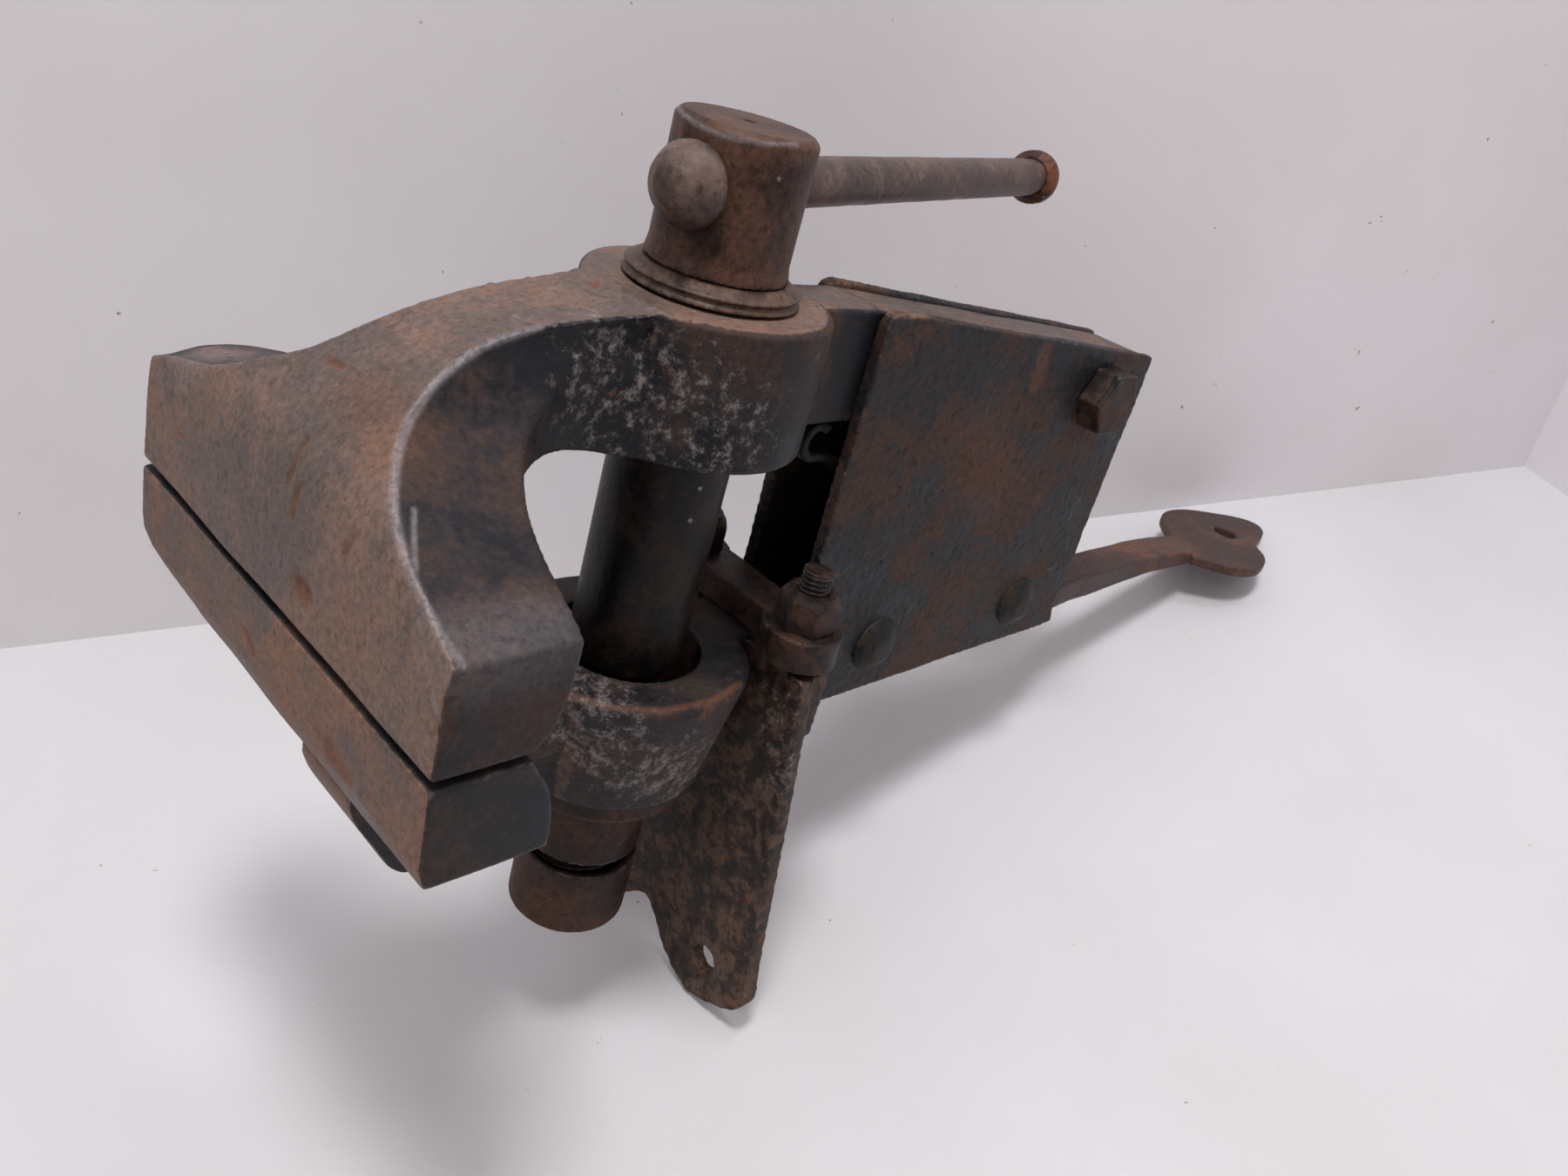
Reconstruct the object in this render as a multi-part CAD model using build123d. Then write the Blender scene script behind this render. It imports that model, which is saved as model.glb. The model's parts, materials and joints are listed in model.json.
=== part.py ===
from build123d import *
from math import atan2, cos, degrees, radians, sin, sqrt
import os

# Blacksmith's bench vise with two short legs, as it lies on a table.
# Everything is first drawn in the vise's own frame, in millimetres:
#   Z runs along the screw and points to its head,
#   X runs down the legs, from the mouth of the jaws towards the foot,
#   Y runs across the jaws, and Y = 0 is the middle plane.
# The origin is on the screw axis, midway between the two gripping faces.
# The last step leans the whole vise so that it rests on its bracket and its foot.

# Plays: between sliding or swinging pieces, and in the turning fits
PLAY = 0.3
FIT = 0.08

# Jaws
JAW_WIDTH = 140.0
JAW_GAP = 2.0
JAW_HEIGHT = 25.0
JAW_TIP = 23.0
JAW_DEPTH = 30.0
MOUTH_TO_SCREW = 108.0
NECK_WIDTH = 26.0
NECK_WAIST = 29.0
THROAT_RISE = 2.8
HEEL_DROP = 10.5

# Eyes through which the screw passes
EYE_GAP = 68.0
MOVING_EYE_R = 33.0
MOVING_EYE_LENGTH = 37.0
FIXED_EYE_RIM_R = 37.0
FIXED_EYE_END_R = 30.0
FIXED_EYE_LENGTH = 39.0
EYE_EDGE = 2.0

# Legs
LEG_WIDTH = 22.0
SCREW_TO_PIVOT = 187.0
PIVOT_HEIGHT = 37.0
MOVING_LEG_DROP = 1.5
FIXED_LEG_DEPTH = 32.0

# Cheek plates on both sides of the legs
PLATE_THICKNESS = 4.4
PLATE_START = 56.0
PLATE_END = 219.0
PLATE_TOP = 70.0
PLATE_TOP_END = 50.5
PLATE_BELOW_LEG = 3.0
PLATE_CORNER = 5.0

# Pivot bolt
PIVOT_R = 8.0
PIVOT_HEX = 22.0
PIVOT_HEAD = 9.5
PIVOT_NUT = 13.0
PIVOT_TIP = 4.0
WASHER_R = 15.0
WASHER_THICKNESS = 2.5

# Cheek rivets
RIVET_R = 6.0
RIVET_HEAD_R = 10.5
RIVET_HEAD = 4.5
RIVET_FROM_START = 44.0
RIVET_SPACING = 85.0

# Screw
SHANK_R = 16.8
THREAD_R = 14.0
THREAD_BELOW_BOX = 21.0
SHANK_PAST_RIM = 3.0
SCREW_HEAD_R = 18.0
SCREW_FOOT_R = 18.8
SCREW_FOOT = 4.0
SCREW_HEAD = 35.5
SCREW_HEAD_EDGE = 1.6

# Thrust collar under the screw head
COLLAR_R = 23.0
COLLAR_SIDE = 3.2
COLLAR_HEIGHT = 5.4
COLLAR_TOP_R = 19.4

# Handle
HANDLE_R = 6.75
HANDLE_BELOW_TOP = 15.0
HANDLE_SPAN = 230.0
HANDLE_TURN = 14.0
KNOB_R = 10.3
KNOB_LENGTH = 9.0
KNOB_SIDE = 2.4
BUTTON_R = 9.9
BUTTON_LENGTH = 8.5
BUTTON_EDGE = 2.4

# Screw box, the long nut in the fixed eye
BOX_R = 18.0
BOX_FLANGE_R = 27.5
BOX_FLANGE = 7.0
BOX_BODY = 24.5
BOX_GROOVE = 3.8
BOX_NECK_R = 16.2
BOX_CAP = 25.0
BOX_CAP_R = 18.3
BOX_CAP_EDGE = 3.0
BOX_SEAT_R = 60.0
BOX_SPIGOT = 8.0
BOX_CAP_SOCKET = 20.0

# How far the screw leans to each side of its hole in the moving eye
EYE_ROOM = 4.4
SEAT_ROOM = 4.0

# Bench bracket with two lobes, and the strap that holds it to the fixed leg
BRACKET_THICKNESS = 6.0
BRACKET_TOP_HALF = 37.5
BRACKET_LOBE_HALF = 53.5
BRACKET_DROP = 133.5
BRACKET_HOLE_R = 4.8
BRACKET_HOLE_SPREAD = 65.0
BRACKET_HOLE_RISE = 17.5
STUD_R = 4.8
STUD_SPREAD = 52.0
STUD_TOP = 29.0
STUD_SET = 18.0
STRAP_PLAY = 2.0
LUG_R = 10.0
LUG_THICKNESS = 14.0
LUG_DROP = 24.0
STRAP_THICKNESS = 10.5
STRAP_WIDTH = 15.0
STRAP_EYE_R = 12.5
CLAMP_HEX = 17.0
CLAMP_NUT = 12.0

# Tail and foot
TAIL_END_X = 355.0
TAIL_WIDTH = 17.0
TAIL_DROP = 20.8
FOOT_LENGTH = 92.0
FOOT_THICKNESS = 5.0
FOOT_BELOW_LEG_TOP = 32.5
FOOT_HALF = 30.0
FOOT_HOLE_R = 5.8
FOOT_HOLE_FROM_TIP = 38.0

# Leaf spring between the legs: a riveted pad and the blade that swings from it
SPRING_THICKNESS = 3.0
SPRING_WIDTH = 18.0
SPRING_START = 42.0
SPRING_END = 176.0
SPRING_PAD = 34.0
SPRING_RIVET_R = 3.0
SPRING_RIVET_HEAD_R = 5.5
SPRING_RIVET_HEAD = 2.2
SPRING_RIVET_DEPTH = 8.0
SPRING_CURL_R = 6.5

# Places worked out from the sizes above
MOUTH = -MOUTH_TO_SCREW
FACE = JAW_GAP / 2
EYE_Z = EYE_GAP / 2
MOVING_TOP = EYE_Z + MOVING_EYE_LENGTH
FIXED_END = -EYE_Z - FIXED_EYE_LENGTH
LEG_HALF = LEG_WIDTH / 2
PLATE_OUT = LEG_HALF + PLATE_THICKNESS
LEG_TOP = -EYE_Z
LEG_BOTTOM = LEG_TOP - FIXED_LEG_DEPTH
PLATE_BOTTOM = LEG_BOTTOM - PLATE_BELOW_LEG
RIVET_Z = LEG_TOP - FIXED_LEG_DEPTH / 2
COLLAR_Z = MOVING_TOP + PLAY
HEAD_Z = COLLAR_Z + COLLAR_HEIGHT + PLAY
HEAD_TOP = HEAD_Z + SCREW_HEAD
HANDLE_Z = HEAD_TOP - HANDLE_BELOW_TOP
SHANK_END = -EYE_Z - SHANK_PAST_RIM
BOX_BORE_R = THREAD_R + FIT
SEAT_BORE_R = BOX_R + SEAT_ROOM
FLANGE_END = FIXED_END - BOX_FLANGE
BODY_END = FLANGE_END - BOX_BODY
CAP_TOP = BODY_END - BOX_GROOVE
BOX_END = CAP_TOP - BOX_CAP
THREAD_END = BODY_END - THREAD_BELOW_BOX
SEAT_CENTRE = FIXED_END - sqrt(BOX_SEAT_R ** 2 - BOX_FLANGE_R ** 2)
BRACKET_X = FIXED_EYE_RIM_R + PLAY
BRACKET_BACK = BRACKET_X + BRACKET_THICKNESS
BRACKET_TOP = LEG_TOP - STRAP_PLAY
BRACKET_BOTTOM = LEG_TOP - BRACKET_DROP
STUD_X = BRACKET_X + LUG_THICKNESS / 2
STUD_Y = STUD_SPREAD / 2
STRAP_TOP = LEG_TOP + STRAP_THICKNESS
FOOT_TOP = LEG_TOP - FOOT_BELOW_LEG_TOP + FOOT_THICKNESS
TAIL_TOP = LEG_TOP - TAIL_DROP
FOOT_BOTTOM = LEG_TOP - FOOT_BELOW_LEG_TOP
FOOT_TIP = TAIL_END_X + FOOT_LENGTH
FOOT_HOLE_X = FOOT_TIP - FOOT_HOLE_FROM_TIP
PIVOT_FAR = PLATE_OUT + WASHER_THICKNESS
SPRING_RIVET_X = SPRING_END + SPRING_PAD / 2
HANDLE_END = HANDLE_SPAN - SCREW_HEAD_R - PLAY + (BUTTON_LENGTH - KNOB_LENGTH) / 2
LEAN = atan2(FOOT_BOTTOM - BRACKET_BOTTOM, FOOT_TIP - BRACKET_BACK)

LOW = (Align.CENTER, Align.CENTER, Align.MIN)


def closed(*lines):
    """Face inside lines and curves that meet end to end."""
    return make_face([edge for line in lines for edge in line.edges()])


def side(sketch, half_width):
    """Outline in X and Z given thickness across Y, the same on both sides."""
    return extrude(Plane.XZ * sketch, half_width, both=True)


def front(sketch, x_low, x_high):
    """Outline in Y and Z given thickness along X."""
    return extrude(Plane.YZ.offset(x_low) * sketch, x_high - x_low)


def plan(sketch, z_low, z_high):
    """Outline in X and Y given height along Z."""
    return extrude(Plane.XY.offset(z_low) * sketch, z_high - z_low)


def upright(radius, z_low, z_high, x=0.0, y=0.0):
    return Pos(x, y, z_low) * Cylinder(radius, z_high - z_low, align=LOW)


def across(radius, y_low, y_high, x, z):
    """Round bar or hole that lies across the vise."""
    base = Plane((x, y_low, z), x_dir=(1, 0, 0), z_dir=(0, 1, 0))
    return base * Cylinder(radius, y_high - y_low, align=LOW)


def turned(points):
    """Body of revolution about Z from points of radius and height."""
    return revolve(Plane.XZ * make_face(Polyline(*points, close=True)), Axis.Z)


def poly(*points):
    return make_face(Polyline(*points, close=True))


def mirrored_plan(half):
    """Closed outline in X and Y from its half on the far side."""
    return poly(*half, *[(x, -y) for x, y in reversed(half)])


def moving_side():
    """Side outline of the moving jaw and its neck, up to the middle of the eye."""
    inner = MOUTH + JAW_DEPTH
    top = FACE + JAW_HEIGHT
    rise = MOVING_TOP - top
    roof = EYE_Z + THROAT_RISE
    crown = 9 - MOVING_EYE_R
    outer = Spline(
        (MOUTH, top * 0.6), (MOUTH + 1, top + 2), (MOUTH + 3.5, top + rise * 0.24),
        (MOUTH + 10, top + rise * 0.43),
        (MOUTH + 21, top + rise * 0.64), (MOUTH + 33, top + rise * 0.8), (MOUTH + 51, top + rise * 0.91),
        (crown, MOVING_TOP))
    throat = Spline(
        (-MOVING_EYE_R + 1, EYE_Z + 0.5), (-MOVING_EYE_R - 12, roof - 0.5), (-MOVING_EYE_R - 27, roof),
        (inner + 8, roof - 3.2), (inner + 2, top + 3), (inner, top - 2), (inner - 1.2, top * 0.5),
        (MOUTH + JAW_TIP + 2, FACE + 2.6))
    rest = Polyline(
        (crown, MOVING_TOP), (0, MOVING_TOP), (0, EYE_Z + 0.5), (-MOVING_EYE_R + 1, EYE_Z + 0.5))
    mouth = Polyline(
        (MOUTH + JAW_TIP + 2, FACE + 2.6), (MOUTH + JAW_TIP, FACE), (MOUTH, FACE), (MOUTH, top * 0.6))
    return closed(outer, rest, throat, mouth)


def flare(half, neck, steps):
    """Points of a fan that narrows from the jaw to the neck: share of the flare left, and height."""
    return [(neck + (half - neck) * share, height) for share, height in steps]


def fan(points, base, end):
    """Symmetric outline of a jaw that fans out from its neck; base and end are heights."""
    (half, root), (tip, _) = points[0], points[-1]
    near = Spline(*points)
    far = Spline(*[(-a, b) for a, b in points])
    foot_line = Polyline((-half, root), (-half, base), (half, base), (half, root))
    top_line = Polyline(points[-1], (tip, end), (-tip, end), (-tip, points[-1][1]))
    return closed(near, top_line, far, foot_line)


def moving_front():
    """Jaw and neck seen from the mouth: full width below, fanning in to the neck."""
    top = FACE + JAW_HEIGHT
    rise = MOVING_TOP - top
    steps = [(1, top), (0.74, top + rise * 0.13), (0.43, top + rise * 0.29), (0.27, top + rise * 0.41),
             (0.12, top + rise * 0.54), (0.03, top + rise * 0.73), (0, top + rise * 0.84),
             (0.02, top + rise * 0.93), (0.14, MOVING_TOP)]
    return fan(flare(JAW_WIDTH / 2, NECK_WIDTH / 2, steps), 0, MOVING_TOP + 1)


def neck_plan(inner, eye_r):
    """Jaw and neck seen from above: full width at the mouth, a waist, then the eye."""
    half = JAW_WIDTH / 2
    waist = NECK_WAIST / 2
    points = [(inner, half), (inner + 1.5, half * 0.76), (inner + 5, half * 0.54), (inner + 11, waist + 12),
              (inner + 20, waist + 4.5), (-50, waist + 0.8), (-42, waist), (-0.98 * eye_r, waist + 2.5),
              (-0.7 * eye_r, eye_r * 0.69)]
    near = Spline(*points)
    far = Spline(*[(a, -b) for a, b in points])
    x, y = points[-1]
    end = Polyline((x, y), (0, y), (0, -y), (x, -y))
    mouth = Polyline((inner, half), (MOUTH - 1, half), (MOUTH - 1, -half), (inner, -half))
    return closed(near, end, far, mouth)


def moving_leg():
    """Leg of the moving jaw, from its eye to the end of the cheek plates."""
    top = MOVING_TOP - MOVING_LEG_DROP
    end_top = PLATE_TOP_END - 0.5
    end_low = PIVOT_HEIGHT - (PLATE_TOP_END - PIVOT_HEIGHT) - 3
    bar = poly(
        (0, top), (PLATE_START, top - 1), (PLATE_END - 2, end_top), (PLATE_END - 2, end_low + 8),
        (PLATE_END - 10, end_low), (SCREW_TO_PIVOT - 20, end_low), (PLATE_START, EYE_Z + 0.5), (0, EYE_Z))
    return side(bar, LEG_HALF - PLAY)


def eye_hole():
    """Oval hole of the moving eye, long enough for the screw to lean in."""
    slot = SlotCenterToCenter(2 * EYE_ROOM, 2 * (SHANK_R + PLAY))
    return plan(slot, EYE_Z - 1, MOVING_TOP + 1)


def moving_jaw():
    neck = side(moving_side(), JAW_WIDTH / 2) & front(moving_front(), MOUTH - 1, 1)
    neck = neck & plan(neck_plan(MOUTH + JAW_DEPTH - 0.5, MOVING_EYE_R), -1, MOVING_TOP + 1)
    eye = upright(MOVING_EYE_R, EYE_Z, MOVING_TOP)
    eye = chamfer(eye.edges().filter_by(GeomType.CIRCLE), EYE_EDGE / 2)
    body = neck + eye + moving_leg() - eye_hole()
    return body - across(PIVOT_R + FIT, -LEG_WIDTH, LEG_WIDTH, SCREW_TO_PIVOT, PIVOT_HEIGHT)


def fixed_side():
    """Side outline of the fixed jaw and its neck, down to the middle of the eye."""
    inner = MOUTH + JAW_DEPTH
    lip = -FACE - JAW_HEIGHT
    floor = -EYE_Z - THROAT_RISE
    outer = Spline(
        (MOUTH + 2.5, lip), (MOUTH + 7, lip - 6), (MOUTH + 13, lip - 14), (MOUTH + 20, lip - 24),
        (MOUTH + 27, lip - 35), (MOUTH + 35, lip - 44), (-FIXED_EYE_END_R + 1, FIXED_END + 0.4))
    throat = Spline(
        (-FIXED_EYE_RIM_R + 2, -EYE_Z - 0.5), (-FIXED_EYE_RIM_R - 9, floor + 0.4),
        (-FIXED_EYE_RIM_R - 24, floor),
        (inner + 8, floor + 3.2), (inner + 2.6, lip - 3), (inner + 1.5, lip + 5), (inner, lip * 0.5),
        (MOUTH + JAW_TIP + 2.5, -FACE - 4))
    rest = Polyline(
        (-FIXED_EYE_END_R + 1, FIXED_END + 0.4), (0, FIXED_END + 0.4), (0, -EYE_Z - 0.5),
        (-FIXED_EYE_RIM_R + 2, -EYE_Z - 0.5))
    mouth = Polyline(
        (MOUTH + JAW_TIP + 2.5, -FACE - 4), (MOUTH + JAW_TIP, -FACE), (MOUTH, -FACE),
        (MOUTH + 0.6, lip + 5.5),
        (MOUTH + 2.5, lip))
    return closed(outer, rest, throat, mouth)


def heel():
    """Narrow heel under the neck of the fixed jaw, where it was bent out of the leg."""
    low = FIXED_END - HEEL_DROP
    inner = (-FIXED_EYE_END_R - 16, FIXED_END + 22)
    outer = Spline(
        (MOUTH + 19, low + 31), (MOUTH + 19.5, low + 27.5), (MOUTH + 23.5, low + 19),
        (MOUTH + 29, low + 10.5),
        (MOUTH + 34, low + 3.2), (MOUTH + 40, low), (MOUTH + 49, low + 1.8), (MOUTH + 62, low + 6.5),
        (-FIXED_EYE_END_R, FIXED_END + 0.6))
    back = Polyline(
        (-FIXED_EYE_END_R, FIXED_END + 0.6), inner, (MOUTH + 30, low + 40), (MOUTH + 19, low + 31))
    return side(closed(outer, back), NECK_WIDTH / 2)


def fixed_front():
    """Fixed jaw and neck seen from the mouth: a narrow lip, then quickly in to the neck."""
    lip = -FACE - JAW_HEIGHT
    steps = [(1, lip), (0.6, lip - 4), (0.34, lip - 8), (0.17, lip - 14), (0.07, lip - 22),
             (0.01, lip - 32), (0, FIXED_END)]
    return fan(flare(JAW_WIDTH / 2, NECK_WIDTH / 2, steps), 0, FIXED_END - 1)


def worn_corner():
    """Wedge worn off the far lower corner of the fixed jaw."""
    lip = -FACE - JAW_HEIGHT
    half = JAW_WIDTH / 2
    outline = poly(
        (half + 1, lip + 11), (half, lip + 11), (half - 1.5, lip + 7), (half - 7, lip + 4.6),
        (half - 17, lip + 1.8),
        (half - 32, lip), (half - 32, lip - 14), (half + 1, lip - 14))
    return front(outline, MOUTH - 1, MOUTH + JAW_DEPTH + 5)


def fixed_eye():
    """Tapered eye, wider towards the jaws."""
    return turned([
        (0, FIXED_END), (FIXED_EYE_END_R, FIXED_END), (FIXED_EYE_RIM_R, -EYE_Z - EYE_EDGE),
        (FIXED_EYE_RIM_R - EYE_EDGE, -EYE_Z), (0, -EYE_Z)])


def seat_cut():
    """Bore of the fixed eye and the ball-shaped seat at its lower end."""
    bore = upright(SEAT_BORE_R, FIXED_END - 10, 1 - EYE_Z)
    ball = Pos(0, 0, SEAT_CENTRE) * Sphere(BOX_SEAT_R)
    return bore + (ball & upright(FIXED_EYE_RIM_R, FIXED_END - 1, FIXED_END + 10))


def fixed_leg():
    """Leg between the cheek plates, and the low tail bar that runs on from it to the foot."""
    end = TAIL_END_X + 14
    bar = poly(
        (0, LEG_TOP), (PLATE_END - 16, LEG_TOP), (PLATE_END, TAIL_TOP), (TAIL_END_X - 45, TAIL_TOP - 1),
        (TAIL_END_X - 16, TAIL_TOP - 3), (end, FOOT_TOP), (end, FOOT_BOTTOM), (TAIL_END_X - 4, FOOT_BOTTOM),
        (TAIL_END_X - 40, LEG_BOTTOM + 1.4), (PLATE_END + 40, LEG_BOTTOM - 0.6), (PLATE_END, LEG_BOTTOM),
        (0, LEG_BOTTOM))
    half = TAIL_WIDTH / 2
    taper = mirrored_plan([(-1, LEG_HALF), (PLATE_END + 2, LEG_HALF), (PLATE_END + 30, half), (end, half)])
    return side(bar, LEG_HALF) & plan(taper, FOOT_BOTTOM - 1, 0)


def foot():
    """Flat foot with two ears, a blunt tip and a screw hole."""
    start = TAIL_END_X
    tip = FOOT_TIP
    half = FOOT_HALF
    edge = TAIL_WIDTH / 2 + 2
    outline = Spline(
        (start, -edge), (start + 5, -edge - 6), (start + 14, -half * 0.88), (start + 26, -half * 1.04),
        (start + 40, -half), (start + 52, -half * 0.8), (tip - 30, -half * 0.48), (tip - 21, -half * 0.38),
        (tip - 9, -half * 0.3), (tip, 0), (tip - 4, half * 0.28), (tip - 14, half * 0.52),
        (tip - 26, half * 0.76),
        (start + 49, half * 0.95), (start + 34, half * 0.92), (start + 22, half * 0.66), (start + 12, edge))
    flat = plan(closed(outline, Line((start + 12, edge), (start, -edge))), FOOT_BOTTOM, FOOT_TOP)
    return flat - upright(FOOT_HOLE_R, FOOT_BOTTOM - 1, FOOT_TOP + 1, FOOT_HOLE_X)


def rivet_places():
    first = PLATE_START + RIVET_FROM_START
    return [first, first + RIVET_SPACING]


def fixed_jaw():
    neck = side(fixed_side(), JAW_WIDTH / 2) & front(fixed_front(), MOUTH - 1, 1)
    neck = neck & plan(neck_plan(MOUTH + JAW_DEPTH + 1.6, FIXED_EYE_END_R), FIXED_END, 1)
    body = neck - worn_corner() + heel() + fixed_eye() + fixed_leg() + foot() - seat_cut()
    for x in rivet_places():
        body -= across(RIVET_R, -LEG_WIDTH, LEG_WIDTH, x, RIVET_Z)
    return body - upright(SPRING_RIVET_R, LEG_TOP - SPRING_RIVET_DEPTH, LEG_TOP + 1, SPRING_RIVET_X)


def cheek_plate(sign):
    outline = poly(
        (PLATE_START, PLATE_TOP), (PLATE_END, PLATE_TOP_END), (PLATE_END + 0.5, PLATE_BOTTOM + 9),
        (PLATE_END + 3.5, PLATE_BOTTOM + 1.5), (PLATE_END - 4, PLATE_BOTTOM + 1),
        (PLATE_START + 2, PLATE_BOTTOM))
    rounded = fillet(outline.vertices().sort_by(Axis.Y)[-1], PLATE_CORNER)
    low = -PLATE_OUT if sign < 0 else LEG_HALF
    plate = Plane.XZ.offset(-low) * rounded
    body = extrude(plate, -PLATE_THICKNESS)
    body -= across(PIVOT_R + PLAY, -2 * PLATE_OUT, 2 * PLATE_OUT, SCREW_TO_PIVOT, PIVOT_HEIGHT)
    for x in rivet_places():
        body -= across(RIVET_R, -2 * PLATE_OUT, 2 * PLATE_OUT, x, RIVET_Z)
    return body


def dome(radius, height, base=0.0):
    """Low hammered dome on Z = 0: a rim of the given height, then two flats and a small crown."""
    rise = height - base
    rim = [(radius, 0), (radius, base)] if base else [(radius, 0)]
    return turned([(0, 0), *rim, (radius * 0.8, base + rise * 0.6), (radius * 0.45, height), (0, height)])


def cheek_rivet(x):
    """Rivet with a low hammered head on each cheek plate."""
    head = Plane((x, PLATE_OUT, RIVET_Z), z_dir=(0, 1, 0)) * dome(RIVET_HEAD_R, RIVET_HEAD)
    return across(RIVET_R, -PLATE_OUT, PLATE_OUT, x, RIVET_Z) + head + mirror(head, Plane.XZ)


def hex_across(size, y_low, y_high, x, z):
    """Hexagonal head or nut with its axis across the vise."""
    base = Plane((x, y_low, z), x_dir=(1, 0, 0), z_dir=(0, 1, 0))
    return extrude(base * RegularPolygon(size / 2, 6, major_radius=False), y_high - y_low)


def pivot_bolt():
    head = hex_across(PIVOT_HEX, -PLATE_OUT - PIVOT_HEAD, -PLATE_OUT, SCREW_TO_PIVOT, PIVOT_HEIGHT)
    far = PIVOT_FAR + PIVOT_NUT + PIVOT_TIP
    return head + across(PIVOT_R, -PLATE_OUT, far, SCREW_TO_PIVOT, PIVOT_HEIGHT)


def pivot_washer():
    disc = across(WASHER_R, PLATE_OUT, PIVOT_FAR, SCREW_TO_PIVOT, PIVOT_HEIGHT)
    return disc - across(PIVOT_R + PLAY, 0, 2 * PIVOT_FAR, SCREW_TO_PIVOT, PIVOT_HEIGHT)


def pivot_nut():
    nut = hex_across(PIVOT_HEX, PIVOT_FAR, PIVOT_FAR + PIVOT_NUT, SCREW_TO_PIVOT, PIVOT_HEIGHT)
    return nut - across(PIVOT_R, 0, 3 * PIVOT_FAR, SCREW_TO_PIVOT, PIVOT_HEIGHT)


def screw():
    """Screw with its round head; the thread is a plain core here."""
    body = turned([
        (0, THREAD_END), (THREAD_R - 2, THREAD_END), (THREAD_R, THREAD_END + 2), (THREAD_R, SHANK_END - 2),
        (SHANK_R, SHANK_END), (SHANK_R, HEAD_Z), (SCREW_FOOT_R, HEAD_Z),
        (SCREW_HEAD_R, HEAD_Z + SCREW_FOOT),
        (SCREW_HEAD_R, HEAD_TOP - SCREW_HEAD_EDGE), (SCREW_HEAD_R - SCREW_HEAD_EDGE, HEAD_TOP),
        (0, HEAD_TOP)])
    return body - along_handle(HANDLE_R + PLAY, -2 * SCREW_HEAD_R, 2 * SCREW_HEAD_R)


def handle_plane(along):
    """Plane square to the handle, at a distance from the screw axis."""
    turn = radians(HANDLE_TURN)
    way = (cos(turn), sin(turn), 0)
    return Plane((along * way[0], along * way[1], HANDLE_Z), z_dir=way)


def along_handle(radius, start, end):
    """Round bar or hole on the line of the handle."""
    return handle_plane(start) * Cylinder(radius, end - start, align=LOW)


def handle_bar():
    """Bar with its upset ball end, which stops against the screw head."""
    stop = SCREW_HEAD_R + PLAY
    knob = mirror(dome(KNOB_R, KNOB_LENGTH, KNOB_SIDE), Plane.XY)
    return handle_plane(-stop) * knob + along_handle(HANDLE_R, -stop - 1, HANDLE_END)


def handle_button():
    """Button riveted on the far end of the handle."""
    half = BUTTON_LENGTH / 2
    flat = BUTTON_R - BUTTON_EDGE
    button = turned([
        (HANDLE_R, -half), (flat, -half), (BUTTON_R, BUTTON_EDGE - half),
        (BUTTON_R, half - BUTTON_EDGE), (flat, half),
        (HANDLE_R, half)])
    return handle_plane(HANDLE_END - half) * button


def thrust_collar():
    return turned([
        (SHANK_R + PLAY, COLLAR_Z), (COLLAR_R, COLLAR_Z), (COLLAR_R, COLLAR_Z + COLLAR_SIDE),
        (COLLAR_TOP_R, COLLAR_Z + COLLAR_HEIGHT), (SHANK_R + PLAY, COLLAR_Z + COLLAR_HEIGHT)])


def screw_box():
    """Threaded box: spigot in the eye, flange with a ball face on its seat, body and narrow neck."""
    start = CAP_TOP - BOX_CAP_SOCKET
    ball = BOX_SEAT_R - PLAY
    rim_z = SEAT_CENTRE + sqrt(ball ** 2 - BOX_FLANGE_R ** 2)
    spigot_z = SEAT_CENTRE + sqrt(ball ** 2 - BOX_R ** 2)
    inside = Polyline(
        (BOX_R, spigot_z), (BOX_R, FIXED_END + BOX_SPIGOT), (BOX_BORE_R, FIXED_END + BOX_SPIGOT),
        (BOX_BORE_R, start),
        (BOX_NECK_R, start), (BOX_NECK_R, BODY_END), (BOX_R, BODY_END), (BOX_R, FLANGE_END),
        (BOX_FLANGE_R - 1, FLANGE_END), (BOX_FLANGE_R, FLANGE_END + 1), (BOX_FLANGE_R, rim_z))
    face = RadiusArc((BOX_FLANGE_R, rim_z), (BOX_R, spigot_z), -ball)
    return revolve(Plane.XZ * closed(inside, face), Axis.Z)


def box_cap():
    """Closed cap on the neck of the box."""
    edge = BOX_CAP_EDGE
    socket = CAP_TOP - BOX_CAP_SOCKET
    return turned([
        (0, BOX_END), (BOX_CAP_R - edge, BOX_END), (BOX_CAP_R, BOX_END + edge), (BOX_CAP_R, CAP_TOP),
        (BOX_NECK_R, CAP_TOP), (BOX_NECK_R, socket), (0, socket)])


def bracket_outline():
    """Near half of the bracket: sloping flank, blunt lobe, and half of the scallop."""
    lobe = BRACKET_LOBE_HALF
    low = BRACKET_BOTTOM
    slot = LEG_HALF + PLAY
    edge = Polyline(
        (0, LEG_BOTTOM), (slot, LEG_BOTTOM), (slot, BRACKET_TOP), (BRACKET_TOP_HALF, BRACKET_TOP),
        (lobe - 2, low + 26), (lobe, low + 17))
    curve = Spline((lobe, low + 17), (lobe - 4, low + 9.6), (lobe - 13.8, low + 3.7), (lobe - 24.5, low),
                   (lobe - 33, low + 2.7), (lobe - 41.4, low + 8.4), (lobe - 47, low + 14.2),
                   (0, low + 18.5))
    return closed(edge, curve, Line((0, low + 18.5), (0, LEG_BOTTOM)))


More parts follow.
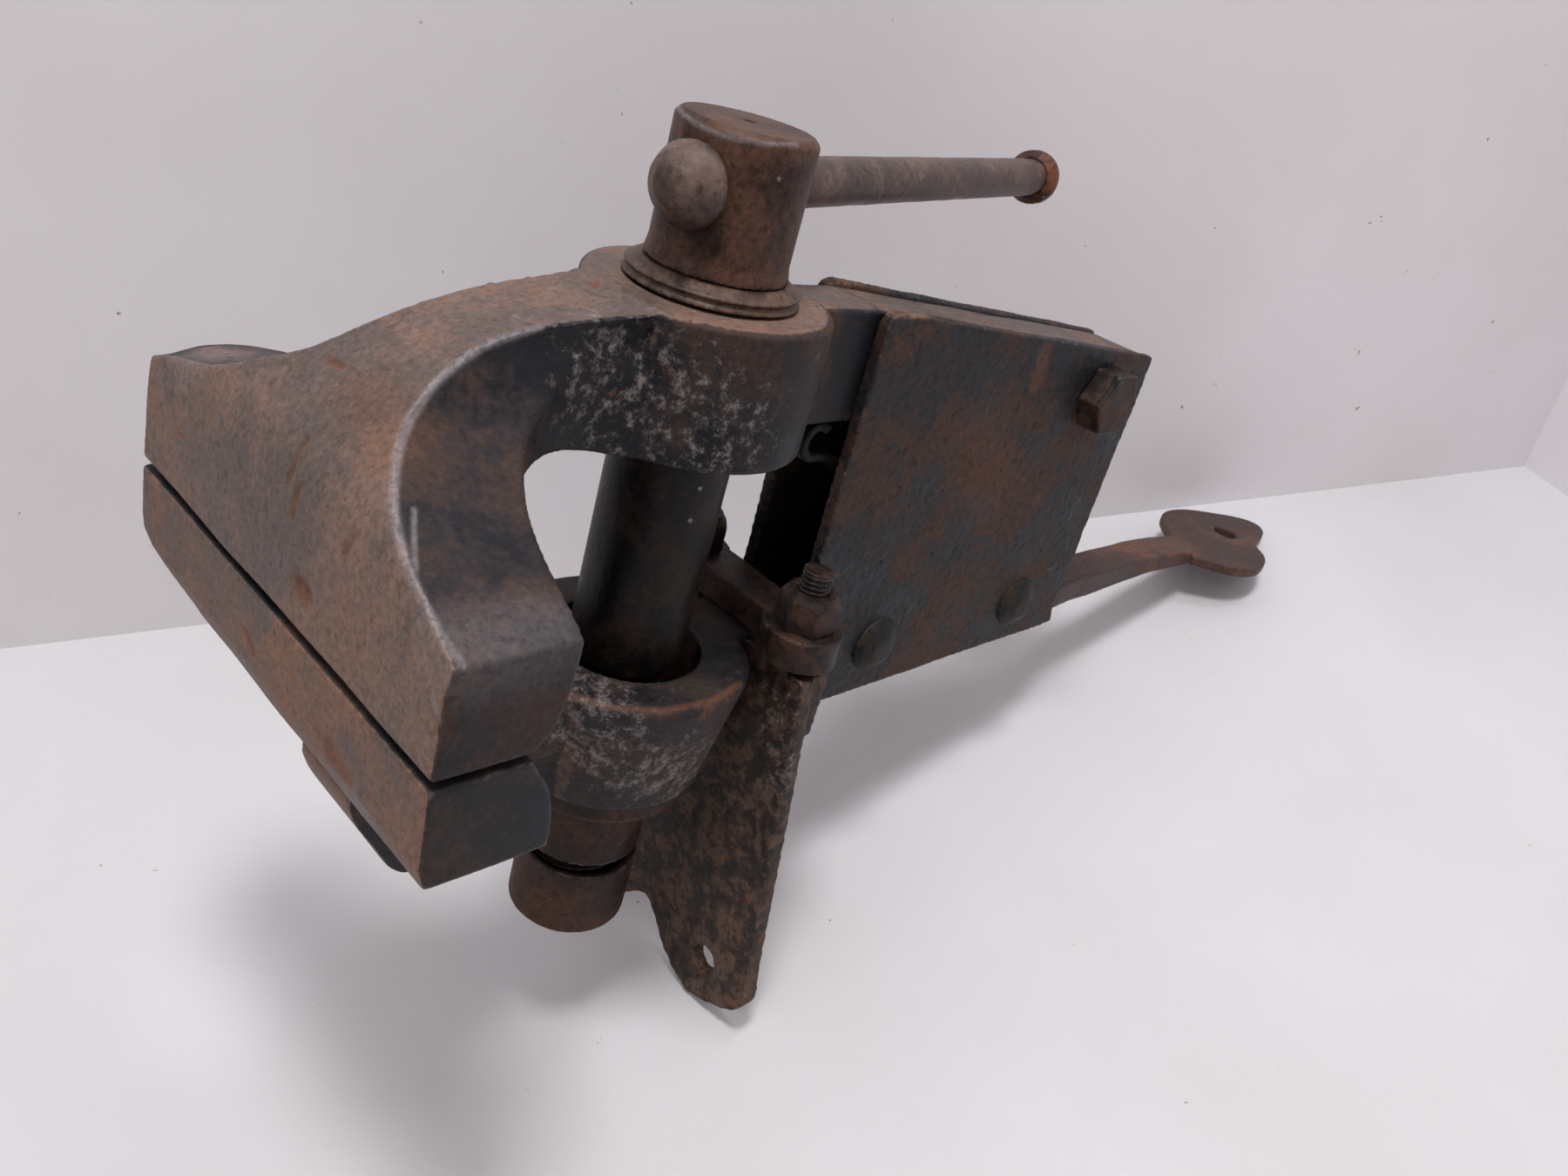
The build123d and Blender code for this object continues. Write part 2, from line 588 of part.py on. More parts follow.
def bench_bracket():
    half = front(bracket_outline(), BRACKET_X, BRACKET_BACK)
    hole_z = BRACKET_BOTTOM + BRACKET_HOLE_RISE
    hole = Plane((BRACKET_X - 1, BRACKET_HOLE_SPREAD / 2, hole_z), z_dir=(1, 0, 0))
    half -= hole * Cylinder(BRACKET_HOLE_R, BRACKET_THICKNESS + 2, align=LOW)
    lug = Pos(STUD_X, STUD_Y, BRACKET_TOP) * Box(
        LUG_THICKNESS, 2 * LUG_R, LUG_DROP, align=(Align.CENTER, Align.CENTER, Align.MAX))
    half = half + lug - upright(STUD_R, BRACKET_TOP - STUD_SET, BRACKET_TOP + 1, STUD_X, STUD_Y)
    return half + mirror(half, Plane.XZ)


def bracket_strap():
    """Strap over the fixed leg with an eye at each end for the studs."""
    bar = Pos(STUD_X + 2, 0) * Rectangle(STRAP_WIDTH, STUD_SPREAD)
    for y in (-STUD_Y, STUD_Y):
        bar += Pos(STUD_X, y) * Circle(STRAP_EYE_R)
    body = plan(bar, LEG_TOP, STRAP_TOP)
    for y in (-STUD_Y, STUD_Y):
        body -= upright(STUD_R + PLAY, LEG_TOP - 1, STRAP_TOP + 1, STUD_X, y)
    return body


def stud(sign):
    return upright(STUD_R, BRACKET_TOP - STUD_SET, LEG_TOP + STUD_TOP, STUD_X, sign * STUD_Y)


def clamp_nut(sign):
    base = Pos(STUD_X, sign * STUD_Y, STRAP_TOP)
    nut = base * extrude(RegularPolygon(CLAMP_HEX / 2, 6, major_radius=False), CLAMP_NUT)
    return nut - upright(STUD_R, STRAP_TOP - 1, STRAP_TOP + CLAMP_NUT + 1, STUD_X, sign * STUD_Y)


def spring_pad():
    pad = Pos(SPRING_RIVET_X, 0, LEG_TOP) * Box(SPRING_PAD, SPRING_WIDTH, SPRING_THICKNESS, align=LOW)
    return pad - upright(SPRING_RIVET_R, LEG_TOP - 1, LEG_TOP + 2 * SPRING_THICKNESS, SPRING_RIVET_X)


def leaf_spring():
    """Blade that curves up from its pad and curls under the moving leg."""
    start = SPRING_END - PLAY - SPRING_THICKNESS / 2
    low = LEG_TOP + PLAY + SPRING_THICKNESS / 2
    curl = SPRING_CURL_R - SPRING_THICKNESS / 2
    curl_x = SPRING_START + SPRING_CURL_R
    curl_z = EYE_Z - PLAY - SPRING_CURL_R
    length = start - curl_x
    rise = curl_z - curl - low
    run = Spline(
        (start, low), (start - length * 0.32, low + rise * 0.16), (start - length * 0.64, low + rise * 0.5),
        (curl_x + 12, curl_z - curl - 3), (curl_x, curl_z - curl), tangents=((-1, 0.02), (-1, 0)))
    hook = CenterArc((curl_x, curl_z), curl, 270, -230)
    half = SPRING_WIDTH / 2
    blade = side(trace(run, SPRING_THICKNESS), half) + side(trace(hook, SPRING_THICKNESS), half)
    return blade + across(SPRING_THICKNESS / 2, -half, half, start, low)


def spring_rivet():
    top = LEG_TOP + SPRING_THICKNESS
    head = Pos(SPRING_RIVET_X, 0, top) * dome(SPRING_RIVET_HEAD_R, SPRING_RIVET_HEAD)
    return head + upright(SPRING_RIVET_R, LEG_TOP - SPRING_RIVET_DEPTH, top, SPRING_RIVET_X)


def vise():
    front_rivet, rear_rivet = rivet_places()
    return {
        "moving_jaw": moving_jaw(),
        "fixed_jaw": fixed_jaw(),
        "near_cheek_plate": cheek_plate(-1),
        "far_cheek_plate": cheek_plate(1),
        "front_cheek_rivet": cheek_rivet(front_rivet),
        "rear_cheek_rivet": cheek_rivet(rear_rivet),
        "pivot_bolt": pivot_bolt(),
        "pivot_washer": pivot_washer(),
        "pivot_nut": pivot_nut(),
        "screw": screw(),
        "thrust_collar": thrust_collar(),
        "handle_bar": handle_bar(),
        "handle_button": handle_button(),
        "screw_box": screw_box(),
        "box_cap": box_cap(),
        "bench_bracket": bench_bracket(),
        "bracket_strap": bracket_strap(),
        "near_stud": stud(-1),
        "far_stud": stud(1),
        "near_clamp_nut": clamp_nut(-1),
        "far_clamp_nut": clamp_nut(1),
        "spring_pad": spring_pad(),
        "spring_rivet": spring_rivet(),
        "leaf_spring": leaf_spring(),
    }


def standing(bodies):
    """Lean the vise about Y so that bracket and foot stand on the table, centred over the origin."""
    leaned = {name: Rot(0, degrees(LEAN), 0) * body for name, body in bodies.items()}
    box = Compound(list(leaned.values())).bounding_box()
    place = Pos(-box.center().X, 0, -box.min.Z)
    return {name: place * body for name, body in leaned.items()}


os.makedirs("parts", exist_ok=True)
for name, body in standing(vise()).items():
    export_step(body, f"parts/{name}.step")
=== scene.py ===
# %% [markdown]
# A blacksmith's bench vise lies on a white table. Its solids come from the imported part, and every
# position below is worked out from them, so that a piece sits where the part says it does. What this
# script adds is the surface: a hundred years of scale, rust, rubbing and dents.

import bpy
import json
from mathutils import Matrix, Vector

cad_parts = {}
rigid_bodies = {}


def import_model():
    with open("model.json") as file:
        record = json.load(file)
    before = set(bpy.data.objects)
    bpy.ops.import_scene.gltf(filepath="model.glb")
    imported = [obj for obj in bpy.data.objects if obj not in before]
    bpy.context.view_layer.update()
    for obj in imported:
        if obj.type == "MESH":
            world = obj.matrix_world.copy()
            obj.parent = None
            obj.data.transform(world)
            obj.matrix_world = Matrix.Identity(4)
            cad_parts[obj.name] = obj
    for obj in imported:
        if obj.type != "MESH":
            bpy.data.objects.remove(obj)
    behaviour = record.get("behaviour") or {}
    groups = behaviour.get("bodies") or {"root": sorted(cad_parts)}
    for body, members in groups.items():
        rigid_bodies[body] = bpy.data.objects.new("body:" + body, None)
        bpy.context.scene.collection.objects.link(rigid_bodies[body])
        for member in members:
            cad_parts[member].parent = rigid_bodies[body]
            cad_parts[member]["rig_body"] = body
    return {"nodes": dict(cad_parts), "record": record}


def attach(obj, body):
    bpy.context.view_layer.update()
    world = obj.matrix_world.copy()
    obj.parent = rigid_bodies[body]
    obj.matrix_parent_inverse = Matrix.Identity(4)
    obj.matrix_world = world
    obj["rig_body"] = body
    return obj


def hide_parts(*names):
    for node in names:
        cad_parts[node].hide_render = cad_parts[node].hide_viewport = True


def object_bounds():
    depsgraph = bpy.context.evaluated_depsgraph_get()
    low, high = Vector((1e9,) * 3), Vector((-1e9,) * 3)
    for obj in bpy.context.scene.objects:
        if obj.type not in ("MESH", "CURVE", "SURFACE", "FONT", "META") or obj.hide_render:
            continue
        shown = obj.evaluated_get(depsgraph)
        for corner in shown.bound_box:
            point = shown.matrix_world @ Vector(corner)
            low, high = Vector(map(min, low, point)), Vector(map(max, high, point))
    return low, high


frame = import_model()
part_box = [list(corner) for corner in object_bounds()]
print("box of the part, m:", part_box)

# %% [markdown]
# The vise leans on the table, so its screw isn't upright. It is easier to think in the vise's own
# frame: Z along the screw to its head, X down the legs, Y across the jaws. That frame could be typed
# in here, but the joints in the record already say where it lies, and read from them it stays true.

# %% The vise's own frame
import json
import math

import bpy
from mathutils import Matrix, Vector

MM = 0.001
PIVOT_IN_VISE = Vector((187.0, 0.0, 37.0)) * MM
HEAD_TOP = 112

joints = {joint["name"]: joint for joint in frame["record"]["behaviour"]["joints"]}
screw_axis = Vector(joints["screw_travel"]["axis"])
lean = math.atan2(screw_axis.x, screw_axis.z)
LEAN_TURN = Matrix.Rotation(lean, 4, "Y")
vise_origin = Vector(joints["jaw_hinge"]["pos_m"]) - LEAN_TURN @ PIVOT_IN_VISE
print("the screw leans", round(math.degrees(lean), 2), "degrees; origin at", tuple(vise_origin))

# %% [markdown]
# Two short functions turn a direction or a place from the vise's frame into the scene. A parent empty
# with the same lean would also do, but the part's own solids mustn't be moved, and plain numbers are
# needed for the nets anyway.

# %% Directions and places
def direction(x, y, z):
    """A direction in the vise's frame, turned into the scene."""
    return LEAN_TURN @ Vector((x, y, z))


def place(x, y, z):
    """A point in millimetres in the vise's frame, as a point in the scene in metres."""
    return vise_origin + direction(x * MM, y * MM, z * MM)


print("the middle of the screw's head is at", tuple(round(v, 4) for v in place(0, 0, HEAD_TOP)))

# %% [markdown]
# The photograph was taken from close by with a wide lens, from above the mouth of the jaws. The
# camera's place, its three angles and its focal length were worked out from points of known shape:
# the round eyes, the plates and the jaws. The middle of the lens isn't the middle of the picture, and
# a small shift says so. It keeps straight lines straight, which turning the camera wouldn't.

# %% Camera numbers
# In the vise's millimetres, and in degrees
CAMERA_PLACE = (-218.2, -223.0, 152.5)
CAMERA_AZIMUTH = 50.82
CAMERA_DOWN = 24.68
CAMERA_ROLL = 16.17
# Sensor width in millimetres, nearest distance seen in metres
SENSOR = 36.0
NEAREST = 0.01
# In pixels of the photograph, from its upper left corner
IMAGE = (1800, 1350)
FOCAL_PIXELS = 1436.3
AXIS_PIXEL = (898.2, 616.6)

azimuth, down, roll = (math.radians(a) for a in (CAMERA_AZIMUTH, CAMERA_DOWN, CAMERA_ROLL))
ahead = direction(math.sin(azimuth) * math.cos(down), math.cos(azimuth) * math.cos(down), -math.sin(down))
level_right = ahead.cross(direction(0, 0, 1)).normalized()
level_up = level_right.cross(ahead)
right = level_right * math.cos(roll) + level_up * math.sin(roll)
up = right.cross(ahead)
print("the camera looks along", tuple(round(v, 3) for v in ahead))

# %% [markdown]
# A camera in Blender looks down its own -Z, with +Y up. So its turn is a matrix of three columns:
# right, up and the reverse of the view. That is safer than three Euler angles, whose order matters.

# %% Camera
camera_data = bpy.data.cameras.new("camera")
camera_data.sensor_width = SENSOR
camera_data.lens = FOCAL_PIXELS * SENSOR / IMAGE[0]
camera_data.shift_x = (IMAGE[0] / 2 - AXIS_PIXEL[0]) / IMAGE[0]
camera_data.shift_y = (AXIS_PIXEL[1] - IMAGE[1] / 2) / IMAGE[0]
camera_data.clip_start = NEAREST
camera = bpy.data.objects.new("camera", camera_data)
bpy.context.scene.collection.objects.link(camera)
turn = Matrix((right, up, -ahead)).transposed()
camera.matrix_world = Matrix.Translation(place(*CAMERA_PLACE)) @ turn.to_4x4()
bpy.context.scene.camera = camera


def line_of_sight(pixel):
    """Direction from the camera through a pixel of the photograph."""
    across = (pixel[0] - AXIS_PIXEL[0]) / FOCAL_PIXELS
    down_frame = (pixel[1] - AXIS_PIXEL[1]) / FOCAL_PIXELS
    return ahead + right * across - up * down_frame


print("camera at", tuple(round(v, 4) for v in camera.location), "lens", round(camera_data.lens, 2))

# %% [markdown]
# Colours are written as they look on a screen, in sRGB hex, and one function turns them into the
# linear values that the shaders work with. Another small function adds a node to a material, with its
# settings and its links, so that a material reads from top to bottom like a recipe.

# %% Helpers for colours and nodes
def linear(hex_colour):
    """sRGB hex to linear RGBA."""
    values = [int(hex_colour[i:i + 2], 16) / 255 for i in (1, 3, 5)]
    return tuple(v / 12.92 if v <= 0.04045 else ((v + 0.055) / 1.055) ** 2.4 for v in values) + (1.0,)


def add(tree, kind, inputs=None, stops=None, **settings):
    """Adds a node with its settings; an input is a value or another node's output, stops are a ramp's."""
    made = tree.nodes.new(kind)
    for name, value in settings.items():
        setattr(made, name, value)
    for name, value in (inputs or {}).items():
        if isinstance(value, bpy.types.NodeSocket):
            tree.links.new(value, made.inputs[name])
        else:
            made.inputs[name].default_value = value
    for index, (position, colour) in enumerate(stops or ()):
        points = made.color_ramp.elements
        point = points[index] if index < 2 else points.new(position)
        point.position = position
        point.color = linear(colour)
    return made


def new_material(name):
    """Empty material and its tree, ready for a shader."""
    material = bpy.data.materials.new(name)
    material.use_nodes = True
    material.node_tree.nodes.clear()
    return material, material.node_tree


print("the brown #6a4330 is", tuple(round(v, 3) for v in linear("#6a4330")), "in linear light")

# %% [markdown]
# A pattern is sized by the real thing, in millimetres between its features. A mix node has inputs for
# numbers, directions and colours side by side under the same names, so its colour inputs go by number,
# and the numbers get names here. The inputs of a math node all have one name and go by number too.

# %% Sizes of patterns, inputs of a mix
SHARE, UNDER, OVER, MIXED = 0, 6, 7, 2


def per_mm(size):
    """Scale of a pattern whose features are that many millimetres apart."""
    return 1 / (size * MM)


print("features 4 mm apart need a scale of", round(per_mm(4.0)))

# %% [markdown]
# Table and wall are board with matt white emulsion, put on with a roller. Such paint gives the eye no
# gloss, very faint clouds of grime, a few specks of dust and, close up, the low orange peel of the
# roller. A flat colour would look like paper. Someone who looks from behind the wall should still see
# the vise, so the wall is clear from its back; only the stage has that.

# %% Matt paint
CLOUDS_OF_GRIME = 160.0
DUST_APART = 7.0
DUST_LIMIT = (0.74, 0.78)
DUST_TONE = "#8d8078"
PEEL_HEIGHT = 0.15


def matt_paint(name, colour, soiled, peel_size, roughness, open_behind=False):
    """Matt emulsion on board: clouds of grime, a little dust and the orange peel of the roller."""
    material, tree = new_material(name)
    coords = add(tree, "ShaderNodeTexCoord").outputs["Object"]
    clouds = add(tree, "ShaderNodeTexNoise", {
        "Vector": coords, "Scale": per_mm(CLOUDS_OF_GRIME), "Detail": 4.0})
    tone = add(tree, "ShaderNodeValToRGB", {"Fac": clouds.outputs[0]},
               stops=((0.35, soiled), (0.62, colour)))
    dust = add(tree, "ShaderNodeTexNoise", {"Vector": coords, "Scale": per_mm(DUST_APART), "Detail": 3.0})
    specks = add(tree, "ShaderNodeMapRange", {
        "Value": dust.outputs[0], "From Min": DUST_LIMIT[0], "From Max": DUST_LIMIT[1]},
        interpolation_type="SMOOTHSTEP")
    colours = add(tree, "ShaderNodeMix", {
        SHARE: specks.outputs[0], UNDER: tone.outputs[0], OVER: linear(DUST_TONE)}, data_type="RGBA")
    peel = add(tree, "ShaderNodeTexNoise", {"Vector": coords, "Scale": per_mm(peel_size), "Detail": 2.0})
    relief = add(tree, "ShaderNodeBump", {
        "Height": peel.outputs[0], "Strength": 0.35, "Distance": PEEL_HEIGHT * MM})
    shader = add(tree, "ShaderNodeBsdfPrincipled", {
        "Base Color": colours.outputs[MIXED], "Roughness": roughness,
        "Normal": relief.outputs[0]}).outputs[0]
    if open_behind:
        back = add(tree, "ShaderNodeNewGeometry").outputs["Backfacing"]
        clear = add(tree, "ShaderNodeBsdfTransparent").outputs[0]
        shader = add(tree, "ShaderNodeMixShader", {0: back, 1: shader, 2: clear}).outputs[0]
    add(tree, "ShaderNodeOutputMaterial", {"Surface": shader})
    return material


table_paint = matt_paint("painted board, matt white", "#d7d6da", "#d1d0d2", 2.5, 0.7)
wall_paint = matt_paint("painted wall, matt", "#e6e2e5", "#e1dcde", 2.0, 0.85, open_behind=True)
print("made", table_paint.name, "and", wall_paint.name)

# %% [markdown]
# Both are only a stage, so flat four-cornered sheets are enough. Where the wall meets the table is seen
# in the photograph: a line of sight through each of two pixels is followed down to the table.

# %% Sheets of the stage
WALL_FOOT_LEFT = (0.0, 745.0)
WALL_CORNER = (1750.0, 535.0)
WALL_HEIGHT = 1.5
TABLE_FRONT = 1.2
SIDE_WALL = 1.2


def on_table(pixel):
    """The point of the table that a pixel of the photograph shows."""
    ray = line_of_sight(pixel)
    start = camera.matrix_world.translation
    return start - ray * (start.z / ray.z)


def sheet(name, corners, material):
    """Flat four-cornered sheet of the stage."""
    mesh = bpy.data.meshes.new(name)
    mesh.from_pydata(corners, [], [(0, 1, 2, 3)])
    mesh.materials.append(material)
    made = bpy.data.objects.new(name, mesh)
    bpy.context.scene.collection.objects.link(made)
    return made


foot_left = on_table(WALL_FOOT_LEFT)
foot_corner = on_table(WALL_CORNER)
print("the wall's foot runs from", tuple(foot_left), "to", tuple(foot_corner))

# %% [markdown]
# The table starts at the wall and comes towards the viewer. The wall stands on its far edge, and a
# second wall starts where the photograph shows a corner.

# %% Table and walls
along_wall = (foot_corner - foot_left).normalized()
into_room = Vector((along_wall.y, -along_wall.x, 0.0))
wall_start = foot_left - along_wall * TABLE_FRONT
side_end = foot_corner + into_room * SIDE_WALL
height = Vector((0, 0, WALL_HEIGHT))
table = sheet("table", (wall_start, foot_corner, side_end, wall_start + into_room * SIDE_WALL), table_paint)
wall = sheet("wall", (wall_start, foot_corner, foot_corner + height, wall_start + height), wall_paint)
side_wall = sheet("side wall", (foot_corner, side_end, side_end + height, foot_corner + height), wall_paint)
print("table, wall and side wall;", round(foot_corner.length, 2), "m from the vise to the corner")

# %% [markdown]
# Two soft lamps hang close together over the vise, and a window stands behind the viewer's left. The
# shadow of the jaws lies on the table below them, and the second lamp, further along, throws the softer
# lobes beside the bracket and the legs. One big lamp would be simpler, but gives only one soft shadow.

# %% Lamps
# Name: place and the point it looks at, side of the square in m, power in W
LAMPS = {
    "near ceiling lamp": ((-0.24, -0.18, 1.5), (-0.1, 0, 0), 0.28, 11.5),
    "far ceiling lamp": ((0.45, -0.02, 1.5), (0, 0, 0), 0.4, 7.3),
    "window": ((-1.3, -0.1, 1.1), (0, 0, 0.15), 0.9, 5.0),
}
for name, (position, target, side, power) in LAMPS.items():
    light = bpy.data.lights.new(name, "AREA")
    light.shape = "SQUARE"
    light.size = side
    light.energy = power
    lamp = bpy.data.objects.new(name, light)
    bpy.context.scene.collection.objects.link(lamp)
    lamp.location = position
    lamp.rotation_euler = (Vector(target) - Vector(position)).to_track_quat("-Z", "Y").to_euler()
    print(name, power, "W")

# %% [markdown]
# White walls throw light back from everywhere. The world stands for that: one faint warm white. The
# view transform is plain, so that a colour comes out about as it is written.

# %% Light of the room
ROOM_TONE = "#f6efec"
ROOM_STRENGTH = 0.26

world = bpy.data.worlds.new("room")
world.use_nodes = True
world.node_tree.nodes["Background"].inputs["Color"].default_value = linear(ROOM_TONE)
world.node_tree.nodes["Background"].inputs["Strength"].default_value = ROOM_STRENGTH
bpy.context.scene.world = world
bpy.context.scene.view_settings.view_transform = "Standard"
print("room light", ROOM_TONE, "at", ROOM_STRENGTH)

# %% [markdown]
# The big pieces of the real vise are wrought iron, drawn out and bent under a hammer, so no face is
# quite flat and every edge is rounded by a century of use. A bevel on the clean solid would give the
# same radius everywhere. Instead a copy of the solid is rebuilt as a fine even net (a voxel remesh) and
# its edges are relaxed. One factor can make every net coarser, so that trying things out stays quick.

# %% Fine nets
RELAX_SHARE = 0.5
NET_FACTOR = 1.0


def fine_net(node, step, relax):
    """Copy of a solid as an even net with relaxed edges: net step in mm, rounds of relaxing."""
    piece = bpy.data.objects.new(node + "_worn", frame["nodes"][node].data.copy())
    bpy.context.scene.collection.objects.link(piece)
    remesh = piece.modifiers.new("net", "REMESH")
    remesh.mode = "VOXEL"
    remesh.voxel_size = step * NET_FACTOR * MM
    soften = piece.modifiers.new("relax", "SMOOTH")
    soften.iterations = relax
    soften.factor = RELAX_SHARE
    depsgraph = bpy.context.evaluated_depsgraph_get()
    mesh = bpy.data.meshes.new_from_object(piece.evaluated_get(depsgraph))
    piece.modifiers.clear()
    solid_copy = piece.data
    piece.data = mesh
    bpy.data.meshes.remove(solid_copy)
    return piece


print("nets are", NET_FACTOR, "times as coarse as written")

# %% [markdown]
# All moves of a net's points are worked out in the vise's own millimetres, many points at once with
# numpy, which is far quicker than one point at a time. Wear only takes metal away, so the last helper
# keeps every point inside the box of the part.

# %% Points of a net
import numpy as np

to_vise = np.array(LEAN_TURN.to_3x3().transposed())
origin_row = np.array(vise_origin)


def in_vise(points):
    """Scene points in metres as millimetres in the vise's frame."""
    return (points - origin_row) @ to_vise.T / MM


def net_points(mesh, field):
    """Points ("co") or normals ("normal") of a net, in the vise's frame."""
    values = np.empty(len(mesh.vertices) * 3, dtype=np.float32)
    mesh.vertices.foreach_get(field, values)
    values = values.reshape(-1, 3).astype(float)
    return in_vise(values) if field == "co" else values @ to_vise.T


def put_back(mesh, points):
    """Moves the points of a net, and keeps them inside the box of the part."""
    places = np.clip(points * MM @ to_vise + origin_row, part_box[0], part_box[1])
    mesh.vertices.foreach_set("co", places.astype(np.float32).ravel())
    mesh.update()


print("one step across the jaws is", tuple(round(v, 3) for v in to_vise[1]), "in the scene")

# %% [markdown]
# Noise then moves the points along their normals: low waves as the hammer leaves them, 6 to 26 mm
# across and a few tenths deep, and grit of 2 mm as rust leaves it. A displace modifier could do that
# too, but the same noise in code can be mixed with the shapes that only one piece has. Its seeds are
# fixed, so that the vise comes out the same every time.

# %% Hammer waves and grit
from mathutils import noise

WAVES_SEED = 1.0
GRIT_SEED = 8.0


def waves(points, size, seed):
    """Smooth noise from about -1 to 1 at each point, with features of that many millimetres."""
    shift = Vector((seed, 2.7 * seed, 5.1 * seed))
    return np.array([noise.noise(Vector(point) / size + shift) for point in points])


def roughen(mesh, low, grit, shape):
    """Moves a net: by a piece's own shape, then by waves and grit, each as (height, size) in mm."""
    points, normals = net_points(mesh, "co"), net_points(mesh, "normal")
    if shape:
        points = shape(points)
    lift = low[0] * waves(points, low[1], WAVES_SEED) + grit[0] * waves(points, grit[1], GRIT_SEED)
    put_back(mesh, points + normals * lift[:, None])
    mesh.polygons.foreach_set("use_smooth", [True] * len(mesh.polygons))


print("a wave at the screw's head is", round(float(waves([(0, 0, HEAD_TOP)], 26, WAVES_SEED)[0]), 3))

# %% [markdown]
# Dents, cuts and flakes are particular to this vise, so they are put where the photograph shows them.
# A line of sight goes from the camera through a pixel to the worn piece. A mark runs between two such
# points: it presses the net in along a soft groove, and it leaves a value on the points, which the
# finish reads later as rust, as pale flakes or as rubbed metal. Painting by hand would look the same,
# but it couldn't be read or changed afterwards.

# %% Marks seen in the photograph
MARK_REACH = 1.25


def seen_on(piece, pixel):
    """Place on the piece, in vise millimetres, that a pixel of the photograph shows."""
    hit, where, _, _ = piece.ray_cast(camera.matrix_world.translation, line_of_sight(pixel).normalized())
    return in_vise(np.array(where)) if hit else None


def from_line(points, first, last):
    """Distance of each point from the line between two places."""
    span = last - first
    share = np.clip((points - first) @ span / max(span @ span, 1e-6), 0.0, 1.0)
    return np.linalg.norm(points - first - share[:, None] * span, axis=1)


def mark(piece, marks, zone=None):
    """Each mark: two pixels, half width and depth in mm, what it leaves (rust, pale, rubbed), how much."""
    mesh = piece.data
    points, normals = net_points(mesh, "co"), net_points(mesh, "normal")
    left = {kind: np.zeros(len(points)) for kind in ("rust", "pale", "rubbed")}
    for first, last, width, depth, kind, strength in marks:
        ends = seen_on(piece, first), seen_on(piece, last)
        if ends[0] is None or ends[1] is None:
            print("mark off the piece:", piece.name, first, last)
            continue
        near = from_line(points, *ends)
        points = points - normals * (depth * np.exp(-(near / width) ** 2))[:, None]
        left[kind] = np.maximum(left[kind], strength * np.exp(-(near / (MARK_REACH * width)) ** 4))
    put_back(mesh, points)
    if zone:
        left["zone"] = zone(points)
    for kind, values in left.items():
        mesh.attributes.new(kind, "FLOAT", "POINT").data.foreach_set("value", values.astype(np.float32))


def along(pixels, width, depth, kind, strength):
    """Marks end to end along a row of pixels."""
    return tuple((*pair, width, depth, kind, strength) for pair in zip(pixels, pixels[1:]))


print("a mark reaches", MARK_REACH, "times its half width")

# %% [markdown]
# Each worn copy then takes the place of its solid: it replaces it and rides on the same body, so that
# it moves with the joints. One function does all that for a piece.

# %% Worn copy in the solid's place
def dress(node, finish, step, relax, low, grit, shape=None, marks=(), zone=None):
    """Worn copy of a solid: its net, its noise, its own shape, its marks and its finish."""
    piece = fine_net(node, step, relax)
    roughen(piece.data, low, grit, shape)
    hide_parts(node)
    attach(piece, frame["nodes"][node]["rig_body"])
    mark(piece, marks, zone)
    piece.data.materials.clear()
    piece.data.materials.append(finish)
    print(piece.name, len(piece.data.vertices), "points,", finish.name)
    return piece


print(len(frame["nodes"]), "solids to dress")

# %% [markdown]
# Forged iron that has stood for a hundred years carries several things at once: blue-black forge scale,
# brown rust in cloudy patches, fresh flecks, pale flakes, rubbed metal on high edges, and pits. Each gets
# its own layer with its own noise at its real size, so the eye can tell them apart as on the real
# piece. Each layer is a short function: it takes the colour so far and gives it back changed.
#
# The first layer is how far each spot has gone from scale to rust. Clouds a few centimetres wide say
# where, and mottling of a few millimetres breaks up their borders, as rust creeping under scale does.

# %% Layer 1: scale and rust
MOTTLE_APART = 4.0
TONE_STOPS = (0.42, 0.5, 0.58)


def scale_and_rust(tree, spot, tones, cloud):
    """Colour from scale over half rusted to rusted; also how rusted, and the mottling, for later."""
    clouds = add(tree, "ShaderNodeTexNoise", {
        "Vector": spot, "Scale": per_mm(cloud), "Detail": 5.0, "Roughness": 0.6, "Distortion": 0.5})
    mottle = add(tree, "ShaderNodeTexNoise", {
        "Vector": spot, "Scale": per_mm(MOTTLE_APART), "Detail": 8.0, "Roughness": 0.78}).outputs[0]
    # Half of the mottling, about its middle, is added to the clouds
    centred = add(tree, "ShaderNodeMath", {0: mottle, 1: 0.5, 2: -0.25}, operation="MULTIPLY_ADD")
    rusted = add(tree, "ShaderNodeMath", {0: clouds.outputs[0], 1: centred.outputs[0]},
                 operation="ADD").outputs[0]
    colour = add(tree, "ShaderNodeValToRGB", {"Fac": rusted}, stops=tuple(zip(TONE_STOPS, tones)))
    return colour.outputs[0], rusted, mottle


print("mottling", MOTTLE_APART, "mm; tones meet at", TONE_STOPS)

# %% [markdown]
# The outside of the jaws is handled and rained on, and browner than the flanks. Which way a face looks
# is read from its normal: how far it looks outward, less how far it looks to either side. The second
# way to change the tones is a zone, a value that a rule has left on the net's points, such as below a
# height on the screw. A mask by place in the material would also do, but a rule in code is easier to
# read.

# %% Layer 2: faces and zones with tones of their own
SIDEWAYS_COUNTS = -1.2
OUTWARD_LIMIT = (0.35, 0.6)


